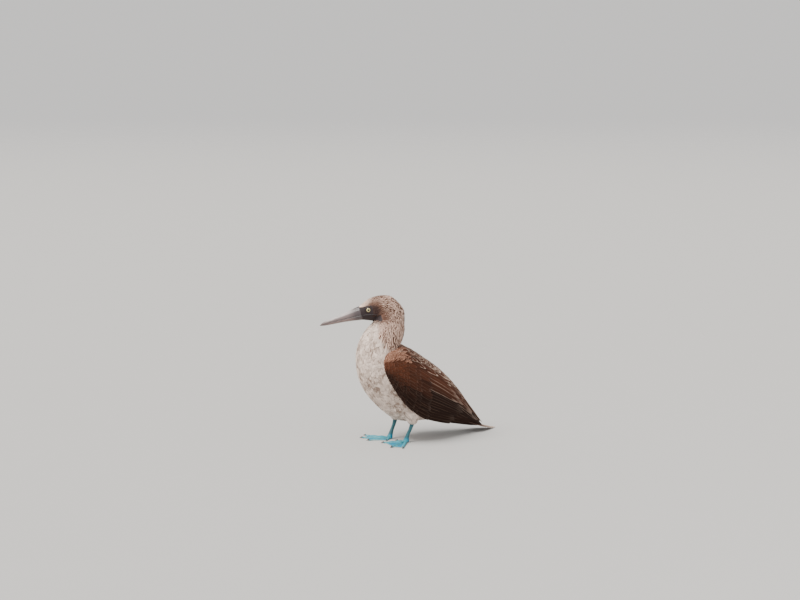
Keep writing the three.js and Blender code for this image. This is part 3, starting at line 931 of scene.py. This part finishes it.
def coat_pieces():
    """The skin and its feathers from the bill to the tail's root."""
    points, faces = skin_mesh()
    local = in_tables(points)
    skin = new_piece("skin", points, faces, SKIN, {"tint": skin_colour(local)})
    carried(skin, "white_plumage", "head", "neck", "torso", "left_thigh", "right_thigh")

    tree = BVHTree.FromPolygons(local.tolist(), faces.tolist())
    roots = even_spots(local, faces, COAT_TRIES)
    _, normals = on_skin(tree, roots)
    lie = lie_of(roots)
    share, _, _, back_way = lie
    along, _, _, mine = head_share(roots)
    edge, middle, width, tip, naked, brown = markings(roots, lie)
    bake_root = coat_map(roots, lie)
    head_way = -FORWARD - 0.5 * UP * smooth(-5, -30, along)[:, None]
    ways = unit(mix(back_way, head_way, mine)) + 0.16 * random.normal(size=roots.shape)
    length = feather_length(roots) * random.uniform(0.85, 1.2, len(roots))
    streaky = np.maximum(mine, brown * smooth(0.45, 0.55, share))
    broad = (0.62 - 0.22 * streaky) * length
    rise = (0.9 + 0.05 * length + 0.5 * random.random(len(roots))) * (1 - 0.55 * mine)
    shape = 3.0 - 1.4 * streaky

    kept = (naked < 0.6) & ~hidden_by_wing(roots) & (share > 0.02) & ((mine < 0.5) | (along < 54))
    head, upper, back = mine > 0.5, share > 0.5, brown >= 0.5
    groups = {
        "head_feathers": (head, "streaked_plumage", STREAKED_FEATHER),
        "neck_feathers": (~head & upper, "streaked_plumage", STREAKED_FEATHER),
        "breast_feathers": (~head & ~upper & ~back, "white_plumage", BODY_FEATHER),
        "mantle_feathers": (~head & ~upper & back, "brown_plumage", STREAKED_FEATHER),
    }
    for name, (group, finish, material) in groups.items():
        k = np.flatnonzero(kept & group)
        table = (part[k] for part in (roots, normals, ways, length, broad, rise, shape))
        point, fits = body_vanes(tree, *table)
        k = k[fits]
        shade = random.uniform(0.86, 1.08, (len(k), 1))
        edges, middles = edge[k] * shade, middle[k] * shade
        vane_piece(name, point[fits], edges, tip[k], middles, width[k], bake_root[k], material, finish)


WING_BROWN = np.array([0.10, 0.031, 0.015])
WING_DARK = np.array([0.018, 0.007, 0.0045])
WING_EDGE = np.array([0.74, 0.56, 0.45])
MANTLE_LIGHT = np.array([0.46, 0.25, 0.175])

# Rows of wing feathers: rows, feathers in a row, where the first and the last row start, how long
# each feather is as a share of the wing and how much longer at the top of the row, the lowest and
# highest place across, the width in mm, the rise of the tip, how round the tip is, how dark, or
# below 0 how light, and how pale its edge.
WING_ROWS = [
    (9, 13, 0.02, 0.25, 0.062, 0, 0.03, 0.86, 15, 1.3, 2.4, 0.1, 0.05),
    (2, 14, 0.28, 0.32, 0.11, 0, 0.025, 0.84, 16, 1.6, 2.6, 0.2, 0.06),
    (1, 15, 0.36, 0.36, 0.17, 0, 0.025, 0.8, 17, 1.9, 3.0, 0.3, 0.05),
    (1, 13, 0.42, 0.42, 0.3, 0.35, 0.025, 0.62, 15.5, 2.1, 3.4, 0.75, 0.06),
    (1, 7, 0.62, 0.62, 0.32, 0.35, 0.08, 0.6, 15, 1.4, 3.0, 1.0, 0.03),
    (1, 6, 0.56, 0.56, 0.4, 0, 0.56, 0.93, 14, 1.7, 2.8, 0.75, 0.3),
    (2, 5, 0.4, 0.52, 0.36, 0, 0.58, 0.86, 19, 2.9, 3.0, 0.15, 0.35),
    (13, 5, 0.015, 0.27, 0.06, 0, 0.76, 0.97, 10.5, 2.1, 1.9, -0.6, 0.9),
    (9, 3, 0.22, 0.68, 0.13, 0, 0.83, 0.965, 15, 2.7, 2.0, 0.2, 0.8),
]
# A feather longer than this share of the wing has more points along it and lies more evenly
LONG_FEATHER = 0.2


def wing_piece(side, label):
    """A folded wing: a dark core and rows of overlapping feathers on it."""
    wing = f"{label}_wing"
    closed_piece(f"{wing}_core", wing_core(side), SKIN, "brown_plumage", wing, colour=WING_DARK)
    for number, row in enumerate(WING_ROWS):
        rows, count, first, last, long, more, low, high, width, rise, shape, dark, pale = row
        points_along, unevenness = (12, 0.005) if long > LONG_FEATHER else (8, 0.014)
        k, j = (part.ravel() for part in np.meshgrid(np.arange(rows), np.arange(count), indexing="ij"))
        total = len(j)
        start = np.interp(k, [0, max(1, rows - 1)], [first, last]) - 0.012 * (j / count)
        start = start + random.uniform(-0.05, 0.05, total) * long
        share = (j + 0.5 * (k % 2)) / (count - 0.5)
        across = low + (high - low) * share + random.uniform(-1, 1, total) * unevenness
        reach = long * (1 + more * share) * random.uniform(0.93, 1.06, total)
        broad = width * random.uniform(0.92, 1.08, total)
        lift = rise * random.uniform(0.9, 1.1, total)
        end, end_across = np.minimum(start + reach, 1), np.clip(across, 0.03, 0.97)
        lines = (start, end, across, end_across)
        point = vanes_on(wing_face, *lines, broad, lift, shape, points_along)
        point[..., 1] = side * np.maximum(point[..., 1], 0.3)

        # Darker towards the wing's lower edge and, behind its front, below the upper rows: partly the
        # darker flight feathers, partly painted shade on the wing's downward-facing lower part
        low_dark_and_shade = 0.95 * smooth(0.55, 0.15, across)
        low_dark_and_shade = low_dark_and_shade + 0.6 * smooth(0.2, 0.5, start) * smooth(0.85, 0.6, across)
        darker = np.clip(dark + 0.3 * (random.random(total) - 0.5) + low_dark_and_shade, 0, 1)
        shade = mix(WING_BROWN, WING_DARK, darker) * random.uniform(0.85, 1.2, (total, 1))
        shade = mix(shade, MANTLE_LIGHT, max(0, -dark) * random.uniform(0.3, 1, total))
        rim = MANTLE_LIGHT * 1.3 if dark < 0 else WING_EDGE
        fringe = mix(shade, rim, pale * random.uniform(0.1, 1.0, total))
        root = np.stack([0.02 + 0.95 * start, 0.02 + 0.45 * across + (0.5 if side < 0 else 0)], 1)
        name = f"{wing}_feathers_{number}"
        vane_piece(name, point, fringe, 0.9, shade, 0.82, root, WING_FEATHER, "brown_plumage")


def back_piece():
    """The back between the wings: a brown pad, and scapulars that lengthen towards the tail and
    hide where the wings meet."""
    s, w = np.meshgrid(np.linspace(0.2, 0.86, 70), np.linspace(-1, 1, 31), indexing="ij")
    top, out, _ = back_face(s, w)
    low = top - out * (2 + 5 * (1 - np.abs(w)) ** 0.5)[..., None]
    rings = np.concatenate([top - out * 1.4, low[:, -2:0:-1]], 1)
    closed_piece("back_pad", rings, SKIN, "brown_plumage", colour=WING_BROWN * 0.6)

    start, across = random.uniform([[0.2], [-0.98]], [[0.87], [0.98]], (2, BACK_TRIES))
    cell = np.floor(back_point(start, across) / (7 + 3 * smooth(0.4, 0.7, start))[:, None])
    _, first = np.unique(cell.astype(np.int64), axis=0, return_index=True)
    start, across = start[first], across[first]
    total = len(start)
    long = (0.06 + 0.075 * smooth(0.25, 0.65, start)) * random.uniform(0.85, 1.15, total)
    broad = 10 + 3.5 * smooth(0.25, 0.5, start) - 4 * smooth(0.6, 0.85, start)
    broad = broad * random.uniform(0.9, 1.1, total)
    lift = 1.6 + 0.8 * random.random(total) + 1.5 * (start - 0.2)
    lines = (start, start + long, across, across * (1 - 0.1 * random.random(total)))
    point = vanes_on(back_face, *lines, broad, lift, 2.0, 8, roll=0.15)
    point[..., 2] = np.maximum(point[..., 2], 0.3)

    front = smooth(0.42, 0.26, start)
    shade = mix(WING_BROWN, WING_DARK, 0.45 * random.random(total))
    shade = mix(shade, MANTLE_LIGHT, 0.45 * front * random.random(total))
    pale = random.uniform(0.15, 1.0, total) * (1 - 0.35 * front - 0.45 * smooth(0.5, 0.75, start))
    width = random.uniform(0.6, 0.85, total)
    root = np.stack([0.02 + 0.95 * start, 0.5 + 0.2 * across], 1)
    fringe = mix(shade, WING_EDGE, pale)
    vane_piece("back_feathers", point, fringe, 0.9, shade, width, root, WING_FEATHER, "brown_plumage")


# The tail's core from root to tip: half its width and half its thickness
TAIL_CORE = [(14, 8), (19, 6), (20, 4), (18, 2.8), (13, 1.8), (5, 1)]
TAIL_CORE_END = 0.86
# Rows of tail feathers: pairs, where they start and end as shares of the tail, how much shorter
# each pair is and its right feather, the width, the rise, how round the tip is, and how pale the
# middle pair is and how much less each other one.
TAIL_ROWS = [
    (6, 0.0, 1.0, 0.062, 0.012, 14, 0.0, 5, 0.85, 0.35),
    (5, -0.12, 0.42, 0.03, 0, 13, 2.3, 3, 0.35, 0),
    (5, -0.2, 0.34, 0.03, 0, 13, 3.6, 3, 0.35, 0),
]
TAIL_GAP = 1.1
TAIL_FAN = np.tan(np.radians(1.75))


def tail_line(share):
    """The tail's middle line: straight back, and down to the floor on a power curve."""
    x, _, z = TAIL_START
    height = (z - TAIL_TIP_HEIGHT) * (1 - share) ** 1.25 + TAIL_TIP_HEIGHT
    return np.stack([x - TAIL_LENGTH * share, 0 * share, height], -1)


def tail_piece():
    """The tail: pairs of long feathers fanned about a core, the middle pair on top and pale,
    with two rows of shorter coverts over their roots."""
    t = np.linspace(0, 1, 30)
    half, thick = curve(TAIL_CORE, t).T
    rings = oval(tail_line(t * TAIL_CORE_END), UPWARDS, ASIDE, thick - 0.8, thick - 0.8, half - 1, 24)
    rings[..., 2] = np.maximum(rings[..., 2], 0.4)
    closed_piece("tail_core", rings, SKIN, "tail_plumage", "tail", colour=WING_DARK)

    v, u = vane_grid(18, 9)
    for number, row in enumerate(TAIL_ROWS):
        pairs, start, length, shorter, uneven, width, rise, shape, pale, fade = row
        order, hand = np.repeat(np.arange(pairs), 2), np.tile([1, -1], pairs)
        end = length - shorter * order - uneven * (hand < 0)
        centre_pale = np.clip(pale - fade * order, 0, 1)
        root = np.stack([0.5 + 0.04 * order * hand, 0.3 + 0.2 * number + 0 * order], 1)

        order, hand, end = each_vane(order, hand, end)
        share = start + (end - start) * v
        half = width / 2 * rounded(v, shape)
        point = tail_line(share)
        spread = TAIL_GAP * (order + 0.5) + TAIL_FAN * order * TAIL_LENGTH * np.maximum(share, 0)
        point[..., 1] = hand * spread + half * u
        sag = 0.6 + 1.6 * (1 - v) - 0.7 * order - 0.3 * (hand < 0) + rise * (0.5 + 0.5 * (1 - v))
        point[..., 2] += sag + 0.9 * (1 - u**2) * half / 7 - 0.6 * hand * u
        point[..., 2] = np.maximum(point[..., 2], 0.35)

        shade = mix(WING_DARK * 2.5, WING_EDGE, centre_pale)
        fringe = mix(shade, WING_EDGE * 1.2, 0.3)
        name = f"tail_feathers_{number}"
        vane_piece(name, point, fringe, 0.6, shade, 0.85, root, WING_FEATHER, "tail_plumage")


BILL_SLATE = np.array([0.19, 0.14, 0.135])
BILL_PINK = np.array([0.24, 0.16, 0.145])
# Painted highlight: the pale colour laid along the top of the bill
BILL_TOP_HIGHLIGHT = np.array([0.60, 0.55, 0.53])
BILL_TIP = np.array([0.13, 0.085, 0.075])
BILL_ROOT = np.array([0.055, 0.041, 0.044])


def mandible(side, label):
    """One half of the bill: arches carried along its axis from a table of heights and widths, with
    a groove along each flank, a ridge on top and, above, a tip that hooks down a little."""
    upper = side > 0
    share, high, low, half = (column[:, None] for column in curve(BILL, np.linspace(0, 1, 140)).T)
    angle = np.linspace(0, np.pi, 49)[None]
    groove = np.pi * (0.30 + 0.05 * share) if upper else np.pi * 0.33
    near = np.minimum(np.abs(angle - groove), np.abs(np.pi - angle - groove))
    deep = 0.075 * np.exp(-((near / 0.09) ** 2)) * smooth(0.0, 0.08, share) * smooth(0.88, 0.74, share)
    ridge = (0.03 if upper else 0.015) * np.exp(-(((angle - np.pi / 2) / 0.2) ** 2))
    swell = (1 - deep + ridge) * (1 - 0.06 * smooth(0.04, 0, share))
    rise = np.sin(angle) ** 0.85 * (high if upper else low) * swell
    mouth = np.exp(-((np.sin(angle) / 0.1) ** 2))
    droop = -1.5 * share**6 - (0.7 * smooth(0.93, 1.0, share) if upper else 0)
    wave = 0.075 * np.sin(share * 60) * mouth * smooth(0.05, 0.2, share)
    height = droop + side * (0.1 + rise) + wave
    arches = in_head(BILL_START + 0.3 + share * BILL_LENGTH, height, np.cos(angle) * half * swell)

    # Painted highlight: a pale band along the top of each mandible, strong on the upper one and faint on
    # the lower; the dark root is kept partly off it
    top = np.sin(angle) ** 3.5 * smooth(0.02, 0.3, share)
    highlight_share = top * smooth(1.0, 0.7, share) if upper else 0.3 * top
    colour = mix(BILL_SLATE if upper else BILL_PINK, BILL_TOP_HIGHLIGHT, 0.9 * highlight_share)
    colour = mix(colour, BILL_TIP, 0.8 * smooth(0.72, 0.97, share))
    colour = mix(colour, BILL_ROOT, smooth(0.36, 0.08, share) * (1 - 0.5 * top))
    colour = mix(colour, BILL_ROOT * 0.5, 0.75 * mouth)
    closed_piece(f"bill_{label}", arches, HORN, "bill_horn", f"{label}_bill", colour=colour)


def mouth_line(side, label):
    """The slit of the mouth from the bill's corner back under the eye: a thin flattened loft laid
    on the head's side."""
    t = np.linspace(0, 1, 60)
    along = BILL_START + 4 - 47 * t
    height = -0.3 - 9.5 * t**2
    rows = curve(HEAD, np.linspace(0, 1, 200))
    axis, low, half = (np.interp(along, rows[:, 0], rows[:, k]) for k in (1, 3, 4))
    share = np.clip((axis - height) / low, -1, 1)
    centre = in_head(along, height, side * (half * np.sqrt(1 - share**2) - 0.25))
    girth = 0.9 * np.sin(np.pi * np.minimum(t * 0.94 + 0.06, 1)) ** 0.5 + 0.05
    rings = oval(centre, UP, side * LEFT, 0.6 * girth, 0.6 * girth, 0.9 * girth, 12)
    closed_piece(f"{label}_mouth_line", rings, LID, "bill_horn")


IRIS = np.array([0.70, 0.60, 0.30])
IRIS_RIM = np.array([0.33, 0.24, 0.09])
EYE_DARK = np.array([0.012, 0.01, 0.012])
PUPIL = np.array([0.004, 0.004, 0.004])
# Angles from the eye's axis
PUPIL_SIZE = 0.28
IRIS_SIZE = 0.66
EYE_AROUND = 96
# The lid's section, from its inner rim over the top and back under it: how far it is from the
# eye's axis and how far out
LID_PROFILE = [
    (5.3, 5.7),
    (5.25, 6.3),
    (5.6, 6.75),
    (6.2, 6.7),
    (6.9, 6.1),
    (7.8, 5.3),
    (9.2, 4.0),
    (10, 2.0),
    (8, 1),
    (5.6, 4.6),
]
LID_ROWS = 40


def eye_piece(side, label):
    """An eyeball, a sphere with a slight dome at the cornea, and its lid, a turned profile."""
    turn = np.linspace(0, 2 * np.pi, EYE_AROUND, endpoint=False)[None]
    polar = np.concatenate([np.linspace(0.004, 0.9, 60), np.linspace(0.93, np.pi - 0.01, 24)])[:, None]
    radius = EYE_RADIUS + 0.35 * smooth(0.75, 0.35, polar)
    centre = in_head(EYE_PLACE[0], EYE_PLACE[1], side * EYE_PLACE[2])
    way = side * LEFT
    ring = np.cos(turn)[..., None] * FORWARD + np.sin(turn)[..., None] * UP
    ball = centre + (radius * np.cos(polar))[..., None] * way + (radius * np.sin(polar))[..., None] * ring
    rays = 0.85 + 0.15 * np.sin(turn * 37 + 3 * np.sin(turn * 11))
    rim = smooth(IRIS_SIZE - 0.16, IRIS_SIZE - 0.04, polar)
    rim = rim + 0.5 * smooth(PUPIL_SIZE + 0.12, PUPIL_SIZE, polar)
    colour = mix(IRIS * rays[..., None], IRIS_RIM, np.clip(rim, 0, 1))
    colour = mix(colour, EYE_DARK, smooth(IRIS_SIZE - 0.03, IRIS_SIZE + 0.02, polar))
    colour = mix(colour, PUPIL, smooth(PUPIL_SIZE + 0.02, PUPIL_SIZE - 0.02, polar))
    closed_piece(f"{label}_eyeball", ball, EYE, "eye", f"{label}_eye", colour=colour)

    reach, out = curve(LID_PROFILE, np.linspace(0, 1, LID_ROWS)).T[..., None]
    creases = np.sin(np.linspace(0, 9, LID_ROWS))[:, None] ** 2
    fold = 1 + 0.006 * np.sin(turn * 29 + 2 * np.sin(turn * 5)) * creases
    lid = centre + (out * way)[:, None] + (reach * fold)[..., None] * ring
    points = place(lid).reshape(-1, 3)
    faces = facing_out(points, grid_faces(LID_ROWS, EYE_AROUND, ring=True, loop=True))
    shade = np.repeat(mix(FACE, FACE * 0.3, smooth(6.1, 5.5, reach[:, 0])), EYE_AROUND, 0)
    carried(new_piece(f"{label}_eyelid", points, faces, SKIN, {"tint": shade}), "blue_skin")


FOOT_BLUE = np.array([0.0, 0.19, 0.34])
TOE_BLUE = np.array([0.04, 0.31, 0.37])
RIM_PALE = np.array([0.27, 0.50, 0.50])
# The shanks' greyer blue, darkened further as painted shade
LEG_BLUE_AND_SHADE = np.array([0.04, 0.11, 0.12])
KNOB_HEIGHT = 5.2
KNOB_RADIUS = 6.6
FOOT_VOXEL = 0.00062
FOOT_ROUNDS = 7
FOOT_AROUND = 28


def toe_ways(toe, side):
    """A toe's way along the floor, from its angle out from straight ahead, and the way across."""
    angle = np.radians(toe.left_angle if side > 0 else toe.right_angle) * side
    return np.array([np.cos(angle), np.sin(angle), 0]), np.array([-np.sin(angle), np.cos(angle), 0])


def heel(side):
    """The middle of an ankle on the floor."""
    return np.array([side * ANKLE_STEP, side * ANKLE_OUT, 0.0])


def toe_rings(toe, side):
    """Ovals along a toe, swollen at its joints by a cosine."""
    t = np.linspace(0, 1, 60)
    way, across = toe_ways(toe, side)
    radius = 0.86 * toe.radius * (1.15 - 0.5 * t) * (1 + 0.1 * np.cos(6 * np.pi * t))
    centre = heel(side) + way * (toe.length * t)[:, None]
    centre[:, 2] = radius * 0.75
    return oval(centre, UPWARDS, across, radius, radius, radius * 1.05, FOOT_AROUND)


def web_edge(side):
    """The web's outer edge: quadratic curves between the toes' tips, pulled in towards the heel."""
    tips = [heel(side) + toe_ways(toe, side)[0] * (toe.length - 3) for toe in TOES]
    w = np.linspace(0, 1, 25)[:, None]
    edge = []
    for a, b in zip(tips[:-1], tips[1:]):
        middle = (a + b) / 2 + (heel(side) - (a + b) / 2) * 0.05
        edge.append((1 - w) ** 2 * a + 2 * w * (1 - w) * middle + w**2 * b)
    return np.concatenate(edge)


def web_rings(side):
    """The web: a fan of rays from the heel to its edge, flat below and thinning towards it."""
    w = np.linspace(0.02, 1, 40)[:, None]
    top = heel(side) + (web_edge(side) - heel(side)) * w[..., None]
    low = top.copy()
    top[..., 2] = 1.9 - 0.5 * w**2
    low[..., 2] = 0.45
    return np.concatenate([top, low[:, ::-1]], 1)


def foot_forms(side):
    """The lofts of a leg and its foot: shank, a ball at the ankle, toes, their tips and the web."""
    polar = np.linspace(0.02, np.pi - 0.02, 24)
    knob = heel(side) + (KNOB_HEIGHT + KNOB_RADIUS * np.cos(polar))[:, None] * UPWARDS
    length, width = 7 * np.sin(polar), KNOB_RADIUS * np.sin(polar)
    forms = [limb_rings(SHANK, side, np.linspace(0, 1, 60), 0.0, 32)]
    forms.append(oval(knob, AHEAD, ASIDE, length, length, width, FOOT_AROUND))
    for toe in TOES:
        way, across = toe_ways(toe, side)
        rings = toe_rings(toe, side)
        tip = rings[-1].mean(0) + np.array([0.0, 1.2, 2.0])[:, None] * way
        girth = toe.radius * 0.65 * np.array([1.0, 0.8, 0.25])
        forms += [rings, oval(tip, UPWARDS, across, girth, girth, girth, FOOT_AROUND)]
    return [*forms, web_rings(side)]


def foot_layers(local, side):
    """The foot's colours, from the distance to the nearest toe's axis, to the web's edge and to
    the floor, and how scaly it is."""
    height = local[:, 2]
    gap = (local - heel(side))[:, :2]
    off = np.full(len(local), np.inf)
    for toe in TOES:
        way = toe_ways(toe, side)[0][:2]
        reach = np.clip(gap @ way, 0, toe.length)
        off = np.minimum(off, np.linalg.norm(gap - reach[:, None] * way, axis=1))
    on_toe = smooth(4.6, 3.0, off) * smooth(12, 9, height)
    leg = smooth(8, 15, height)
    rim = web_edge(side)[:, :2]
    from_rim = np.min([np.linalg.norm(local[:, :2] - spot, axis=1) for spot in rim], axis=0)
    flank = smooth(1.5, 3.2, off) * smooth(5.0, 3.2, off) * smooth(5, 3, height) * (1 - leg)
    # The shank takes a darker, greyer blue than the feet: partly its own colour, partly painted shade
    colour = mix(mix(FOOT_BLUE, TOE_BLUE, on_toe * 0.8), LEG_BLUE_AND_SHADE, leg * 0.95)
    colour = mix(colour, RIM_PALE, np.maximum(0.8 * smooth(2.6, 0.8, from_rim), 0.45 * flank))
    colour = colour * (0.8 + 0.4 * noise(local, 7, 21))[:, None]
    return {"tint": np.clip(colour, 0, 1), "scaly": np.maximum(on_toe, leg)}


def foot_piece(side, label):
    """A leg and its webbed foot as one skin, made by a remesh and set flat on the floor."""
    points, faces = one_skin(foot_forms(side), FOOT_VOXEL, FOOT_ROUNDS)
    points[:, 2] = np.maximum(points[:, 2], 0.0001)
    layers = foot_layers(in_tables(points), side)
    piece = new_piece(f"{label}_leg_and_foot", points, faces, BLUE, layers)
    carried(piece, "blue_skin", f"{label}_leg", f"{label}_foot")


def claw_pieces(side, label):
    """A claw on each toe: ovals that narrow with a power of the share along it and droop with
    its square."""
    t = np.linspace(0, 1, 22)
    for toe in TOES:
        way, across = toe_ways(toe, side)
        radius = toe.radius * 0.62 * (1 - t) ** 0.7 + 0.2
        centre = heel(side) + way * (toe.length + 0.3 + CLAW_LENGTH * t)[:, None]
        centre[:, 2] = 2.8 - 1.9 * t * t
        rings = oval(centre, UPWARDS, across, radius, radius * 0.8, radius * 0.75, 18)
        rings[..., 2] = np.maximum(rings[..., 2], 0.15)
        closed_piece(f"{label}_{toe.name}_toe_claw", rings, CLAW, "claw", f"{label}_{toe.name}_claw")


coat_pieces()
back_piece()
for hand, label in ((1, "left"), (-1, "right")):
    wing_piece(hand, label)
    eye_piece(hand, label)
    foot_piece(hand, label)
    claw_pieces(hand, label)
tail_piece()
mandible(1, "upper")
mandible(-1, "lower")
mouth_line(1, "left")
mouth_line(-1, "right")


# Floor, light and camera

FLOOR_REACH = 60.0
MODEL_MIDDLE = np.array([0, 0, 0.18])


def floor_piece():
    """A pale floor, gently mottled, under the model, that fades far away from it."""
    m = Nodes("pale floor")
    far = m.add("ShaderNodeVectorMath", {"operation": "LENGTH"}, [m.where()], "Value")
    material = m.finish({
        "Base Color": m.blend(m.grain(6.0) * 0.3, rgb(0.50, 0.495, 0.485), rgb(0.47, 0.465, 0.455)),
        "Roughness": 0.8,
        "Specular IOR Level": 0.1,
        "Alpha": 1.0 - m.ramp(far, 2.0, 26.0),
    })
    points = np.array([[-1, -1, 0], [1, -1, 0], [1, 1, 0], [-1, 1, 0]]) * FLOOR_REACH
    new_piece("floor", points, np.array([[0, 1, 2, 3]]), material)


def lamp(name, kind, power, colour, way):
    """A light that shines along a way."""
    light = bpy.data.lights.new(name, kind)
    light.energy, light.color = power, colour
    holder = in_scene(name, light)
    holder.rotation_euler = Vector(way).to_track_quat("-Z", "Y").to_euler()
    return holder


def studio():
    """A big key light high on the bill's side, a broad fill behind the camera and a pale world."""
    key_way = 0.95 * VIEW_RIGHT + 0.65 * VIEW_AHEAD - 1.6 * UPWARDS
    key = lamp("key", "SUN", 5.2, (1.0, 0.965, 0.92), key_way)
    key.data.angle = 0.5
    fill_place = 1.3 * VIEW_RIGHT - 1.6 * VIEW_AHEAD + 0.9 * UPWARDS
    fill = lamp("fill", "AREA", 5, (0.97, 0.98, 1.0), MODEL_MIDDLE - fill_place)
    fill.data.size = 1.8
    fill.location = fill_place
    world = bpy.data.worlds.new("studio")
    bpy.context.scene.world = world
    world.use_nodes = True
    background = world.node_tree.nodes["Background"]
    background.inputs["Color"].default_value = rgb(1.0, 0.98, 0.96)
    background.inputs["Strength"].default_value = 0.85


def camera():
    """The photograph's view: its place, its heading and its pitch as a turned frame."""
    top = UPWARDS * np.cos(CAMERA_PITCH) + VIEW_AHEAD * np.sin(CAMERA_PITCH)
    back = UPWARDS * np.sin(CAMERA_PITCH) - VIEW_AHEAD * np.cos(CAMERA_PITCH)
    data = bpy.data.cameras.new("camera")
    data.lens, data.sensor_width = float(CAMERA_LENS), 36
    holder = in_scene("camera", data)
    turned = Matrix([VIEW_RIGHT.tolist(), top.tolist(), back.tolist()]).transposed().to_4x4()
    holder.matrix_world = Matrix.Translation(Vector(place(CAMERA_PLACE))) @ turned
    bpy.context.scene.camera = holder


floor_piece()
studio()
camera()
